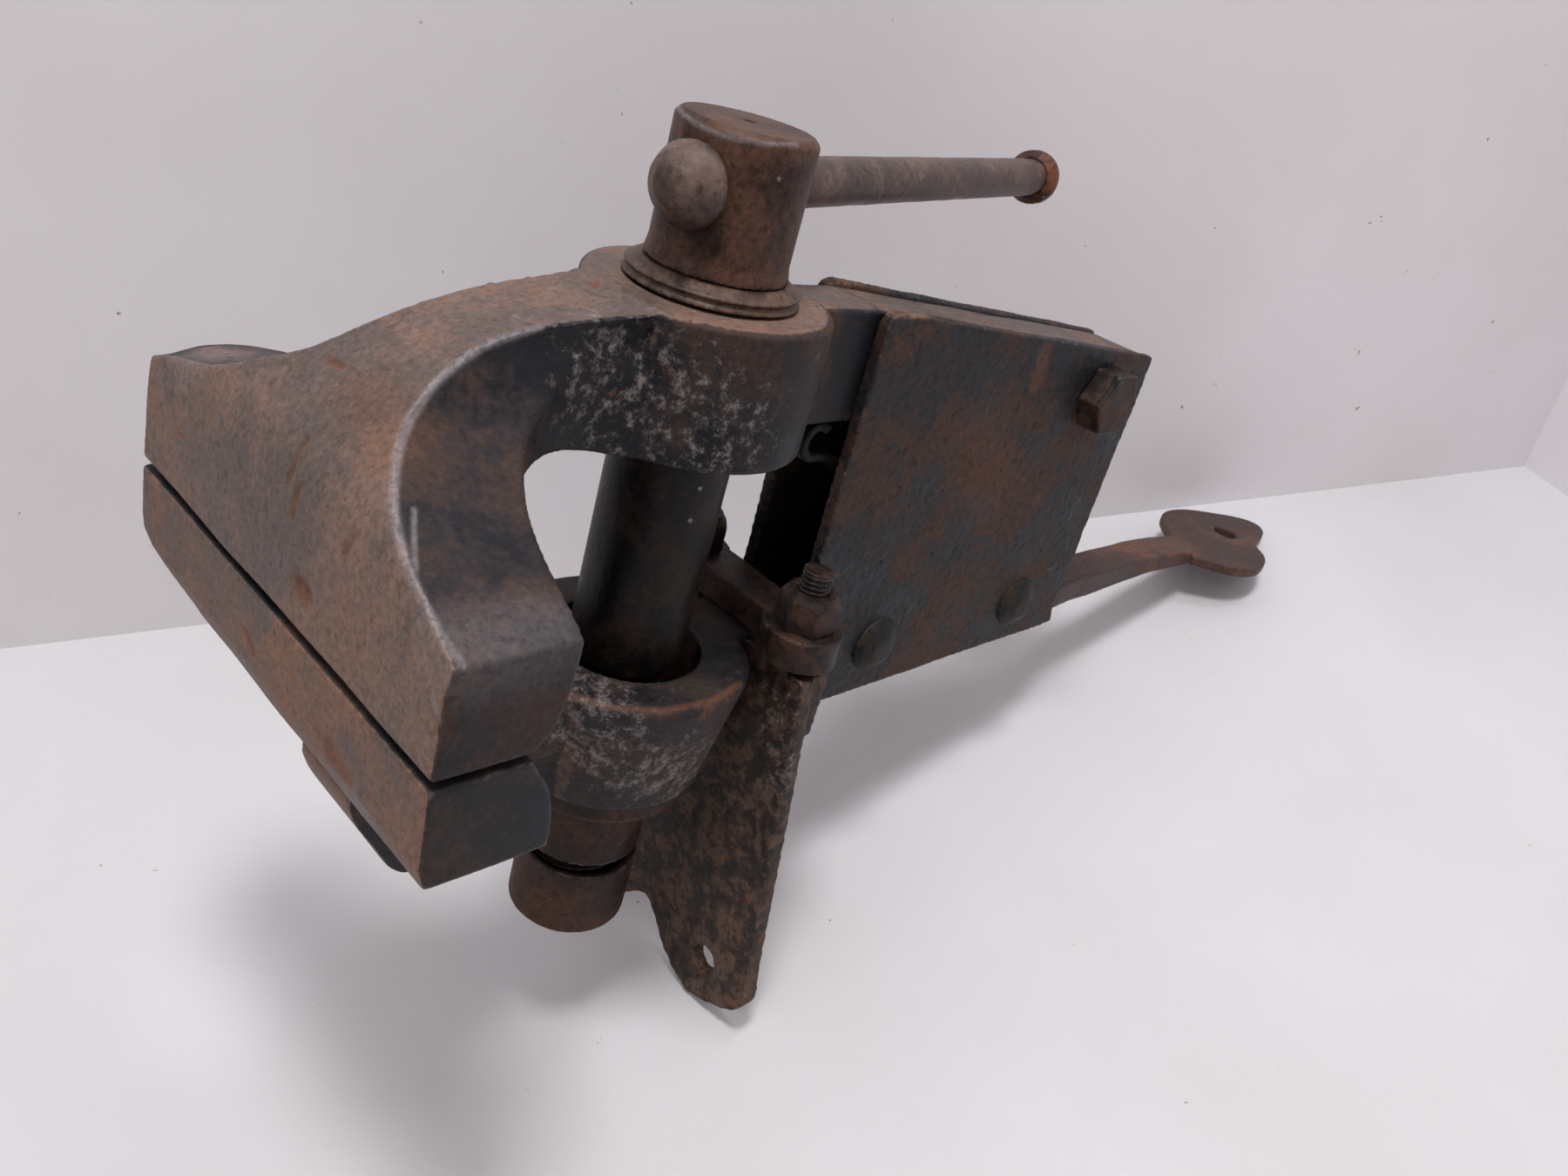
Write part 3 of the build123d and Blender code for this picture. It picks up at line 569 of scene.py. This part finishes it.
def outward_faces(tree, coords, colour, rusted, mottle, tones, facing):
    """Other tones on the faces that look one way, with a ragged border."""
    other = add(tree, "ShaderNodeValToRGB", {"Fac": rusted}, stops=tuple(zip(TONE_STOPS, tones)))
    normal = coords.outputs["Normal"]
    looks = add(tree, "ShaderNodeVectorMath", {0: normal, 1: direction(*facing).normalized()},
                operation="DOT_PRODUCT")
    sideways = add(tree, "ShaderNodeVectorMath", {0: normal, 1: direction(0, 1, 0)}, operation="DOT_PRODUCT")
    turned = add(tree, "ShaderNodeMath", {0: sideways.outputs["Value"]}, operation="ABSOLUTE")
    outward = add(tree, "ShaderNodeMath", {
        0: turned.outputs[0], 1: SIDEWAYS_COUNTS, 2: looks.outputs["Value"]}, operation="MULTIPLY_ADD")
    ragged = add(tree, "ShaderNodeMath", {0: mottle, 1: 0.4, 2: outward.outputs[0]},
                 operation="MULTIPLY_ADD")
    share = add(tree, "ShaderNodeMapRange", {
        "Value": ragged.outputs[0], "From Min": OUTWARD_LIMIT[0], "From Max": OUTWARD_LIMIT[1]},
        interpolation_type="SMOOTHSTEP")
    return add(tree, "ShaderNodeMix", {SHARE: share.outputs[0], UNDER: colour, OVER: other.outputs[0]},
               data_type="RGBA").outputs[MIXED]


def own_zone(tree, colour, rusted, tones):
    """Other tones in the zone that a piece carries on its points."""
    other = add(tree, "ShaderNodeValToRGB", {"Fac": rusted}, stops=tuple(zip(TONE_STOPS, tones)))
    zone = add(tree, "ShaderNodeAttribute", attribute_name="zone")
    return add(tree, "ShaderNodeMix", {SHARE: zone.outputs["Fac"], UNDER: colour, OVER: other.outputs[0]},
               data_type="RGBA").outputs[MIXED]


print("a face counts as outward between", OUTWARD_LIMIT)

# %% [markdown]
# Fresh rust is orange and blooms in ragged flecks about a centimetre apart. It also stays in dents and
# cuts, where no hand rubs it off, so the rust that the marks left is laid in with it.

# %% Layer 3: fresh rust
FRESH_APART = 11.0
FRESH_BORDER = 0.09
FRESH_MOST = 0.8


def fresh_rust(tree, spot, colour, tone, limit):
    """Flecks of fresh rust where the noise passes the limit, and the rust left in dents."""
    fresh = add(tree, "ShaderNodeTexNoise", {
        "Vector": spot, "Scale": per_mm(FRESH_APART), "Detail": 8.0, "Roughness": 0.78})
    bloom = add(tree, "ShaderNodeMapRange", {
        "Value": fresh.outputs[0], "From Min": limit, "From Max": limit + FRESH_BORDER,
        "To Max": FRESH_MOST}, interpolation_type="SMOOTHSTEP")
    dents = add(tree, "ShaderNodeAttribute", attribute_name="rust")
    rust = add(tree, "ShaderNodeMath", {0: bloom.outputs[0], 1: dents.outputs["Fac"]}, operation="MAXIMUM")
    return add(tree, "ShaderNodeMix", {SHARE: rust.outputs[0], UNDER: colour, OVER: linear(tone)},
               data_type="RGBA").outputs[MIXED]


print("flecks", FRESH_APART, "mm apart")

# %% [markdown]
# Where the scale has come off lately, pale grey flakes of about 1 mm show, thick on both eyes and thin
# elsewhere. The marks say where, by lowering the limit that the noise has to pass.

# %% Layer 4: pale flakes
FLAKES_APART = 3.6
FLAKE_TONE = "#8f8581"
FLAKE_LIMIT = (0.66, 0.82)
FLAKE_MOST = 0.7


def pale_flakes(tree, spot, colour):
    """Pale flakes where the scale has come off, thick where the photograph shows them."""
    flakes = add(tree, "ShaderNodeTexNoise", {
        "Vector": spot, "Scale": per_mm(FLAKES_APART), "Detail": 9.0, "Roughness": 0.8})
    bare = add(tree, "ShaderNodeAttribute", attribute_name="pale")
    lifted = add(tree, "ShaderNodeMath", {0: bare.outputs["Fac"], 1: 0.2, 2: flakes.outputs[0]},
                 operation="MULTIPLY_ADD")
    pale = add(tree, "ShaderNodeMapRange", {
        "Value": lifted.outputs[0], "From Min": FLAKE_LIMIT[0], "From Max": FLAKE_LIMIT[1],
        "To Max": FLAKE_MOST}, interpolation_type="SMOOTHSTEP")
    return add(tree, "ShaderNodeMix", {SHARE: pale.outputs[0], UNDER: colour, OVER: linear(FLAKE_TONE)},
               data_type="RGBA").outputs[MIXED]


print("flakes", FLAKES_APART, "mm apart")

# %% [markdown]
# High edges are rubbed down to the metal. How sharply the surface bulges at a point tells where that
# is, and mottling keeps the border ragged. A round knob bulges everywhere, so small round pieces get a
# higher limit. Bare iron is a metal and shines in its own grey; rust and scale are oxides and don't.

# %% Layer 5: rubbed edges
RUBBED_TONE = "#8b8588"
RUBBED_MOST = 0.75
EDGE_RAGGED = 0.12
# The mottling's own middle, a half, lifts every value by this much
EDGE_LIFT = 0.06


def rubbed_edges(tree, colour, mottle, edge):
    """Bare metal on high edges and where hands rub; also how bare, for the shader."""
    high = add(tree, "ShaderNodeNewGeometry").outputs["Pointiness"]
    ragged = add(tree, "ShaderNodeMath", {0: mottle, 1: EDGE_RAGGED, 2: high}, operation="MULTIPLY_ADD")
    edges = add(tree, "ShaderNodeMapRange", {
        "Value": ragged.outputs[0], "From Min": edge[0] + EDGE_LIFT, "From Max": edge[1] + EDGE_LIFT,
        "To Max": RUBBED_MOST}, interpolation_type="SMOOTHSTEP")
    handled = add(tree, "ShaderNodeAttribute", attribute_name="rubbed")
    rubbed = add(tree, "ShaderNodeMath", {0: edges.outputs[0], 1: handled.outputs["Fac"]},
                 operation="MAXIMUM").outputs[0]
    mixed = add(tree, "ShaderNodeMix", {SHARE: rubbed, UNDER: colour, OVER: linear(RUBBED_TONE)},
                data_type="RGBA")
    return mixed.outputs[MIXED], rubbed


print("edges rubbed to", RUBBED_TONE)

# %% [markdown]
# Rust eats pits, which look darker because light doesn't reach their bottoms. The grain of rust is a
# fine dust of lighter and darker specks. On the real vise pits are under 1 mm and the grain about a
# fifth of that, too fine to show at this distance, so both are drawn two or more times coarser.

# %% Layer 6: pits and grain
PITS_APART = 2.4
PIT_LIMIT = (0.36, 0.44)
GRAIN_APART = 1.6
GRAIN_DARKEST, GRAIN_LIGHTEST = 0.66, 1.34


def pits_and_grain(tree, spot, colour, pitting):
    """Darker pits and a dusty grain; also the height of both, for the relief."""
    pits = add(tree, "ShaderNodeTexNoise", {
        "Vector": spot, "Scale": per_mm(PITS_APART), "Detail": 4.0, "Roughness": 0.6})
    holes = add(tree, "ShaderNodeMapRange", {
        "Value": pits.outputs[0], "From Min": PIT_LIMIT[0], "From Max": PIT_LIMIT[1],
        "To Min": pitting, "To Max": 1.0}, interpolation_type="SMOOTHSTEP").outputs[0]
    grain = add(tree, "ShaderNodeTexNoise", {
        "Vector": spot, "Scale": per_mm(GRAIN_APART), "Detail": 5.0, "Roughness": 0.7}).outputs[0]
    dusty = add(tree, "ShaderNodeMapRange", {
        "Value": grain, "From Min": 0.3, "From Max": 0.7, "To Min": GRAIN_DARKEST,
        "To Max": GRAIN_LIGHTEST}).outputs[0]
    for darker in (holes, dusty):
        colour = add(tree, "ShaderNodeMix", {SHARE: 1.0, UNDER: colour, OVER: darker}, data_type="RGBA",
                     blend_type="MULTIPLY").outputs[MIXED]
    height = add(tree, "ShaderNodeMath", {0: grain, 1: 0.35, 2: holes}, operation="MULTIPLY_ADD")
    return colour, height.outputs[0]


print("pits", PITS_APART, "mm and grain", GRAIN_APART, "mm apart")

# %% [markdown]
# One function now stacks the layers into a finish. Every piece of the vise is iron with the same
# history, so they share it, and differ in their tones, in the size of their clouds and in how smooth
# they are. Bare iron has a roughness of about 0.3, dull scale 0.5 and rust 0.7 or more, and the ramp
# from scale to rust goes between such values. Rust and old scale are porous, so they throw back about
# half the gloss of a solid skin: the shader's specular level is under half its usual 0.5.

# %% Old iron
SPECULAR_LEVEL = 0.22
RELIEF_STRENGTH = 0.8


def old_iron(name, tones, second=None, facing=None, third=None, cloud=38.0, flecks=("#6a4330", 0.6),
             edge=(0.53, 0.6), gloss=(0.42, 0.68), relief=0.2, pitting=0.6):
    """Iron with scale and rust. Tones go from scale to rust; second ones lie on the faces that look one
    way, third ones in the piece's zone; gloss is the roughness of scale and of rust; relief is in mm."""
    material, tree = new_material(name)
    coords = add(tree, "ShaderNodeTexCoord")
    spot = coords.outputs["Object"]
    colour, rusted, mottle = scale_and_rust(tree, spot, tones, cloud)
    if second:
        colour = outward_faces(tree, coords, colour, rusted, mottle, second, facing)
    if third:
        colour = own_zone(tree, colour, rusted, third)
    colour = fresh_rust(tree, spot, colour, *flecks)
    colour = pale_flakes(tree, spot, colour)
    colour, rubbed = rubbed_edges(tree, colour, mottle, edge)
    colour, height = pits_and_grain(tree, spot, colour, pitting)
    dull = add(tree, "ShaderNodeMapRange", {
        "Value": rusted, "From Min": 0.35, "From Max": 0.65, "To Min": gloss[0], "To Max": gloss[1]})
    bump = add(tree, "ShaderNodeBump", {
        "Height": height, "Strength": RELIEF_STRENGTH, "Distance": relief * MM})
    shader = add(tree, "ShaderNodeBsdfPrincipled", {
        "Base Color": colour, "Roughness": dull.outputs[0], "Metallic": rubbed,
        "Specular IOR Level": SPECULAR_LEVEL, "Normal": bump.outputs[0]})
    add(tree, "ShaderNodeOutputMaterial", {"Surface": shader.outputs[0]})
    print("finish:", name)
    return material


# %% [markdown]
# Some shapes are true only on the worn piece, such as a thread or a hollow. Each is a short rule that
# moves the points of the net in the vise's millimetres, and two helpers serve them all: a smooth step,
# and the distance from an upright axis.

# %% Helpers for shapes
def ease(values, low, high):
    """Smooth step from 0 at low to 1 at high."""
    share = np.clip((values - low) / (high - low), 0.0, 1.0)
    return share * share * (3 - 2 * share)


def from_axis(points, x=0.0, y=0.0):
    """Offsets from an upright axis and their length."""
    out = points[:, :2] - (x, y)
    return out, np.maximum(np.linalg.norm(out, axis=1), 1e-6)


def cut_inwards(points, out, radius, depth):
    """Points moved towards the axis by a depth of their own."""
    moved = points.copy()
    moved[:, :2] -= out / radius[:, None] * depth[:, None]
    return moved


print("halfway, the smooth step is", ease(np.array([5.0]), 0, 10)[0])

# %% [markdown]
# The moving jaw and the fixed jaw are each one forging: jaw, neck, eye and leg drawn out of one bar.
# The shape itself comes from the solids. What the photograph adds is wear: the moving jaw's far end
# stands a few millimetres proud, its ridge is rubbed bright, a fine scratch runs up its side, and both
# eyes are thick with pale flakes.

# %% Shape and marks of the jaws
LIP_HEIGHT = 3.8
# Where the lip rises: across the jaws, towards their ends and up from the slit; where it falls off again
LIP_ACROSS, LIP_OUTWARD, LIP_UP = (42, 66), (68, 92), (10, 24)
LIP_FALLS = (94, 106)


def raised_lip(points):
    """The far end of the moving jaw stands a few millimetres proud."""
    x, y, z = points.T
    at_end = ease(y, *LIP_ACROSS) * ease(-x, *LIP_OUTWARD)
    falls_off = 1 - 0.6 * ease(-x, *LIP_FALLS)
    lift = LIP_HEIGHT * at_end * falls_off * ease(z, *LIP_UP)
    return points + np.stack((np.zeros_like(x), np.zeros_like(x), lift), axis=1)


def beyond(start, width):
    """Zone that begins past a distance down the legs."""
    return lambda points: ease(points[:, 0] - start, 0, width)


# Pixels of the photograph along the rubbed ridge, the scratch and the rusty rim of the fixed eye
RIDGE = (
    (531, 764), (507, 730), (482, 688), (465, 645), (452, 594), (451, 564), (456, 521), (469, 483),
    (495, 444), (525, 416), (560, 394), (620, 374))
SCRATCH = ((475, 585), (476, 645), (483, 725), (504, 830))
EYE_RIM = ((655, 798), (700, 812), (760, 816), (815, 806), (850, 785))
DENTS_AND_CUTS = (
    ((342, 670), (350, 682), 2.4, 1.0, "rust", 0.9), ((352, 505), (331, 553), 0.8, 0.5, "rust", 0.7),
    ((343, 560), (335, 592), 0.9, 0.5, "rust", 0.7), ((407, 612), (396, 636), 0.8, 0.5, "rust", 0.6),
    ((378, 413), (392, 421), 0.9, 0.6, "rust", 0.8), ((418, 455), (455, 500), 7.0, 0.0, "rust", 0.35),
    ((350, 625), (362, 640), 1.8, 0.2, "pale", 0.3), ((592, 362), (604, 368), 1.2, 0.2, "pale", 1.0),
    ((516, 800), (512, 840), 1.6, 0.9, "rust", 0.1))
FLAKES_AND_RUBBING = (
    ((700, 430), (830, 490), 17.0, 0.0, "pale", 0.9), ((690, 490), (740, 510), 9.0, 0.0, "pale", 0.8),
    ((722, 372), (742, 380), 4.0, 0.2, "pale", 0.7), ((682, 326), (684, 328), 1.0, 0.3, "rust", 1.0),
    ((941, 352), (938, 410), 0.7, 0.2, "rubbed", 0.3), ((545, 748), (625, 728), 8.0, 0.0, "rubbed", 0.2),
    ((220, 413), (290, 407), 7.0, 0.0, "rubbed", 0.2))
JAW_MARKS = (DENTS_AND_CUTS + along(SCRATCH, 0.5, 0.15, "rubbed", 0.5) + FLAKES_AND_RUBBING
             + along(RIDGE, 0.9, 0.2, "rubbed", 0.5))
FIXED_MARKS = (
    ((380, 862), (400, 893), 2.6, 0.5, "rust", 0.8), ((283, 728), (290, 745), 1.3, 0.3, "rust", 0.8),
    ((660, 830), (800, 880), 16.0, 0.0, "pale", 1.0)) + along(EYE_RIM, 0.9, 0.0, "rust", 0.6)
print(len(JAW_MARKS), "marks on the moving jaw,", len(FIXED_MARKS), "on the fixed one")

# %% [markdown]
# Wrought iron, hammered at red heat. Its skin is forge scale, which stays blue-black and faintly
# glossy in the shelter of the flanks, and turns a dull warm brown outside, where hands and damp reach
# it. On the fixed leg the brown comes back towards the foot, which stood near the floor.

# %% The two jaws
jaw_iron = old_iron(
    "forged jaw iron, brown outside and blue-black on the flanks",
    ("#16161b", "#282326", "#3c2e28"), second=("#5b4f4a", "#6c5850", "#765e52"), facing=(-0.9, 0, 0.43),
    flecks=("#644231", 0.61), pitting=0.75)
fixed_iron = old_iron(
    "forged iron of the fixed leg, brown at mouth and foot",
    ("#1a1b1f", "#282427", "#392e29"), second=("#594a43", "#6a5247", "#76594a"), facing=(-0.9, 0, -0.4),
    third=("#3f2f2b", "#523d35", "#63483b"), pitting=0.8)
dress("moving_jaw", jaw_iron, step=0.65, relax=11, low=(0.3, 26), grit=(0.05, 2.2),
      shape=raised_lip, marks=JAW_MARKS)
dress("fixed_jaw", fixed_iron, step=0.65, relax=11, low=(0.3, 26), grit=(0.05, 2.2),
      marks=FIXED_MARKS, zone=beyond(start=215, width=30))

# %% [markdown]
# The cheek plates are rolled iron plate, cut with a chisel. Mill scale gives the eye a blue-grey skin,
# coarsely pitted, with clouds of rust smaller than on the forgings. Rust lies thick on the upper edge,
# where damp settles, and two rusty runs come down from it.

# %% Cheek plates
TOP_EDGE = (67.4, 68.4)


def top_edge(points):
    """The upper edge of a cheek plate, where rust lies."""
    return ease(points[:, 2], *TOP_EDGE)


PLATE_MARKS = (
    ((1200, 405), (1190, 440), 3.0, 0.2, "rust", 0.7), ((1120, 505), (1140, 560), 12.0, 0.0, "rust", 0.35))
plate_iron = old_iron(
    "rolled plate, blue-grey scale and brown rust", ("#1d1f24", "#2a2526", "#432f25"),
    third=("#4f3a30", "#654b3e", "#785a49"), cloud=26.0, flecks=("#5c3a26", 0.58), relief=0.5, pitting=0.55)
dress("near_cheek_plate", plate_iron, step=0.65, relax=6, low=(0.35, 24), grit=(0.22, 2.2),
      marks=PLATE_MARKS, zone=top_edge)
dress("far_cheek_plate", plate_iron, step=0.9, relax=5, low=(0.3, 24), grit=(0.16, 2.6), zone=top_edge)

# %% [markdown]
# The bench bracket was cut from thick plate and never handled, so it has rusted most. Rust through and
# through gives the eye a deep brown with small dark clouds and open pits, and hardly any sheen. The rim
# of its hole is dished by the screw that held it to the bench.

# %% Bench bracket
BRACKET_MARKS = (
    ((802, 1102), (812, 1100), 4.5, 0.9, "rust", 0.2), ((885, 800), (898, 900), 7.0, 0.0, "pale", 0.9),
    ((700, 1000), (760, 960), 6.0, 0.0, "pale", 0.6))
bracket_iron = old_iron(
    "bench bracket, pitted brown over grey", ("#28221f", "#3d2f28", "#58443a"), cloud=7.0,
    flecks=("#6a432b", 0.55), relief=0.6, pitting=0.5)
dress("bench_bracket", bracket_iron, step=0.8, relax=5, low=(0.3, 20), grit=(0.14, 2.6),
      marks=BRACKET_MARKS)

# %% [markdown]
# The screw is turned from mild steel and carries a square thread, which takes a heavy push without
# wedging the nut apart. It shows only when the jaws stand open, just above the fixed eye. A helix could
# be swept as a curve; here the phase of the turn is worked out at every point of the net, and the points
# in the gaps go inwards. The same rule sets the turner's centre mark into the head.

# %% Shape and marks of the screw
THREAD_PITCH = 8.0
THREAD_DEPTH = 2.6
# Where the thread starts and ends below the jaws' slit, the core it leaves, and the flank of its turns
THREAD_START, THREAD_END = (38, 40), (123, 125)
THREAD_CORE = (11, 13)
THREAD_FLANK = (0.42, 0.6)
MARK_DEPTH = 1.2
MARK_EDGE = (0.6, 2.0)


def square_thread(points):
    """Square thread in the lower part of the screw, and a centre mark in its head."""
    out, radius = from_axis(points)
    x, y, z = points.T
    turns = np.arctan2(y, x) / (2 * math.pi)
    phase = np.abs(((z / THREAD_PITCH - turns) % 1.0) - 0.5) * 2
    threaded = ease(radius, *THREAD_CORE) * ease(-z, *THREAD_START) * (1 - ease(-z, *THREAD_END))
    moved = cut_inwards(points, out, radius, THREAD_DEPTH * ease(phase, *THREAD_FLANK) * threaded)
    moved[:, 2] -= MARK_DEPTH * (1 - ease(radius, *MARK_EDGE)) * ease(z, HEAD_TOP - 2, HEAD_TOP)
    return moved


def below(level, width):
    """Zone that begins under a height on the screw axis."""
    return lambda points: ease(level - points[:, 2], 0, width)


HEAD_RIM = (
    (778, 122), (784, 131), (800, 143), (822, 153), (850, 161), (880, 166), (915, 166))
HEAD_MARKS = along(HEAD_RIM, 0.5, 0.0, "rubbed", 0.55)
print("thread of", THREAD_PITCH, "mm pitch,", THREAD_DEPTH, "mm deep")

# %% [markdown]
# Turned steel is smoother than a forging, so its relief is low and its rust thin: the head is an even
# warm brown, and its rim is rubbed bright. The shank below is black with old oil, which fills the rust
# and gives it a soft gloss. That change is the screw's zone.

# %% Screw
screw_iron = old_iron(
    "turned screw, browned at the head, black with oil below", ("#281a15", "#3e2a22", "#53392d"),
    third=("#0d0a09", "#15100e", "#2a1e18"), cloud=24.0, flecks=("#5f3d2c", 0.64), gloss=(0.38, 0.52),
    relief=0.1)
dress("screw", screw_iron, step=0.55, relax=2, low=(0.05, 10), grit=(0.03, 2.0),
      shape=square_thread, marks=HEAD_MARKS, zone=below(level=66, width=24))

# %% [markdown]
# The thrust collar is a turned washer between the screw's head and the moving eye, with a groove round
# its rim. It turns under load, and that keeps it smooth: grey-brown, with thin rust and some sheen. Its
# underside is raised by half a millimetre here, because the worn eye below it is a little uneven.

# %% Collar
COLLAR_GROOVE = 73.4
GROOVE_WIDTH = 0.7
GROOVE_DEPTH = 1.1
COLLAR_RIM = (20, 22)
COLLAR_UNDERSIDE = 71.8


def grooved_collar(points):
    """Groove turned round the middle of the collar's rim, and a worn underside clear of the jaw."""
    out, radius = from_axis(points)
    groove = np.exp(-((points[:, 2] - COLLAR_GROOVE) / GROOVE_WIDTH) ** 2) * ease(radius, *COLLAR_RIM)
    moved = cut_inwards(points, out, radius, GROOVE_DEPTH * groove)
    moved[:, 2] = np.maximum(moved[:, 2], COLLAR_UNDERSIDE)
    return moved


collar_iron = old_iron(
    "turned collar, rubbed grey-brown", ("#382a24", "#4a3931", "#5c493f"), cloud=14.0, edge=(0.6, 0.7),
    gloss=(0.35, 0.5), relief=0.1)
dress("thrust_collar", collar_iron, step=0.45, relax=2, low=(0.1, 8), grit=(0.03, 2.0),
      shape=grooved_collar)

# %% [markdown]
# The screw box is the long nut of the vise: a tube with the thread brazed into it, closed by a cap. It
# sits in the shelter under the fixed eye, so its thin rust is dark and even. A deep black gap parts it
# from its cap.

# %% Screw box and cap
GAP_DEPTH = 2.6
GAP_PLACE = (103.9, 104.7)
GAP_CORE = (13, 15)


def deep_gap(points):
    """Deep dark gap between the screw box and its cap."""
    out, radius = from_axis(points)
    depth = GAP_DEPTH * ease(-points[:, 2], *GAP_PLACE) * ease(radius, *GAP_CORE)
    return cut_inwards(points, out, radius, depth)


box_iron = old_iron(
    "screw box, rusty brown", ("#211713", "#31211b", "#452e23"), cloud=16.0, flecks=("#63402c", 0.6))
dress("screw_box", box_iron, step=0.6, relax=3, low=(0.1, 10), grit=(0.08, 2.0), shape=deep_gap)
dress("box_cap", box_iron, step=0.6, relax=2, low=(0.1, 10), grit=(0.06, 2.0))

# %% [markdown]
# Strap, bolts and nuts are small forgings, hammered in a die and never undone since. They have rusted
# together: one dark brown with clouds of a centimetre and no bright edge but the highest.

# %% Strap over the leg
small_iron = old_iron(
    "bolts and nuts, rusted together", ("#211917", "#33251f", "#453027"), cloud=10.0,
    flecks=("#5f3d2c", 0.62))
dress("bracket_strap", small_iron, step=0.6, relax=6, low=(0.35, 9), grit=(0.1, 2.0))

# %% [markdown]
# The handle is a drawn round bar. One end was hammered to a ball before it went through the head of the
# screw, and the other was upset to a button after. Hands keep the bar nearly free of rust, and it is
# grey-brown and smooth. The ball is darker from oil, and the button has rusted bright orange, because
# nobody holds it there.

# %% Handle
KNOB = (17, 20)


def knob(points):
    """The round end of the handle on the near side."""
    return ease(-points[:, 1], *KNOB)


handle_iron = old_iron(
    "drawn handle bar with light rust", ("#453834", "#53433d", "#63514a"),
    third=("#2a1a15", "#3d2720", "#503228"), cloud=18.0, flecks=("#77503c", 0.6), edge=(0.66, 0.76),
    gloss=(0.32, 0.5), relief=0.12)
button_iron = old_iron(
    "upset handle end, orange rust", ("#3f2822", "#583526", "#6f422b"), cloud=9.0,
    flecks=("#865233", 0.56), gloss=(0.45, 0.6), relief=0.15)
dress("handle_bar", handle_iron, step=0.6, relax=4, low=(0.12, 9), grit=(0.04, 2.0), zone=knob)
dress("handle_button", button_iron, step=0.4, relax=4, low=(0.15, 5), grit=(0.05, 1.6))

# %% [markdown]
# The cheek rivets were set hot, so their heads kept the blue-black scale of the fire. The pivot bolt
# with its washer and nut is of the same rusty kind as the other nuts.

# %% Rivets and pivot
rivet_iron = old_iron(
    "rivet heads, blue-black scale", ("#17171a", "#211e1f", "#33291f"), cloud=9.0, flecks=("#4c3424", 0.62))
dress("front_cheek_rivet", rivet_iron, step=0.5, relax=8, low=(0.25, 8), grit=(0.06, 2.0))
dress("rear_cheek_rivet", rivet_iron, step=0.5, relax=8, low=(0.25, 8), grit=(0.06, 2.0))
dress("pivot_bolt", small_iron, step=0.5, relax=5, low=(0.3, 6), grit=(0.06, 2.0))
dress("pivot_washer", small_iron, step=0.5, relax=3, low=(0.1, 6), grit=(0.05, 2.0))
dress("pivot_nut", small_iron, step=0.5, relax=5, low=(0.3, 6), grit=(0.06, 2.0))

# %% [markdown]
# Two studs hold the strap and the bracket to the leg. Their fine thread shows above the nuts, and the
# upper corners of the nuts are worn to a cone. Both rules stand on a stud's own axis.

# %% Studs and clamp nuts
STUD_X = 44.3
STUD_SIDES = {"near": -26.0, "far": 26.0}
STUD_PITCH = 1.6
STUD_THREAD_DEPTH = 0.75
STUD_CORE = (3, 4)
STRAP_TOP = (-24, -22)
NUT_RADIUS = 10.0
NUT_CONE = 3.0
NUT_CORNERS = (-16.5, -10.5)


def fine_thread(y_axis):
    """Vee thread on a stud, above the strap."""
    def shape(points):
        out, radius = from_axis(points, STUD_X, y_axis)
        turns = np.arctan2(out[:, 1], out[:, 0]) / (2 * math.pi)
        phase = np.abs(((points[:, 2] / STUD_PITCH - turns) % 1.0) - 0.5) * 2
        threaded = ease(radius, *STUD_CORE) * ease(points[:, 2], *STRAP_TOP)
        return cut_inwards(points, out, radius, STUD_THREAD_DEPTH * phase * threaded)
    return shape


def rounded_nut(y_axis):
    """Clamp nut with its upper corners worn to a cone."""
    def shape(points):
        out, radius = from_axis(points, STUD_X, y_axis)
        limit = NUT_RADIUS - NUT_CONE * ease(points[:, 2], *NUT_CORNERS)
        return cut_inwards(points, out, radius, np.maximum(radius - limit, 0))
    return shape


for name, y_axis in STUD_SIDES.items():
    dress(name + "_stud", small_iron, step=0.32, relax=2, low=(0.05, 6), grit=(0.02, 2.0),
          shape=fine_thread(y_axis))
for name, y_axis in STUD_SIDES.items():
    dress(name + "_clamp_nut", small_iron, step=0.4, relax=5, low=(0.25, 6), grit=(0.06, 2.0),
          shape=rounded_nut(y_axis))

# %% [markdown]
# The leaf spring pushes the legs apart when the screw is undone. It is a strip of spring steel,
# blackened in oil, riveted to the leg over a small pad. It sits in deep shade between the plates, and
# that shade is painted into its colour: its tones are darker than oiled steel alone, so it stays nearly
# black even where the lamps reach its top. Its thin edges bulge everywhere, so they get the highest
# limit for rubbing.

# %% Leaf spring
# The near-black tones are partly painted shade: the shade between the plates is put into the spring's own
# colour.
spring_iron_with_painted_shade = old_iron(
    "spring strip, dark with painted shade", ("#0d0b0a", "#141110", "#201814"), cloud=15.0, flecks=("#33231b", 0.66),
    edge=(0.8, 0.9), relief=0.1)
dress("leaf_spring", spring_iron_with_painted_shade, step=0.7, relax=2, low=(0.05, 8), grit=(0.03, 2.0))
dress("spring_pad", spring_iron_with_painted_shade, step=0.8, relax=2, low=(0.05, 8), grit=(0.03, 2.0))
dress("spring_rivet", spring_iron_with_painted_shade, step=0.5, relax=2, low=(0.05, 8), grit=(0.03, 2.0))
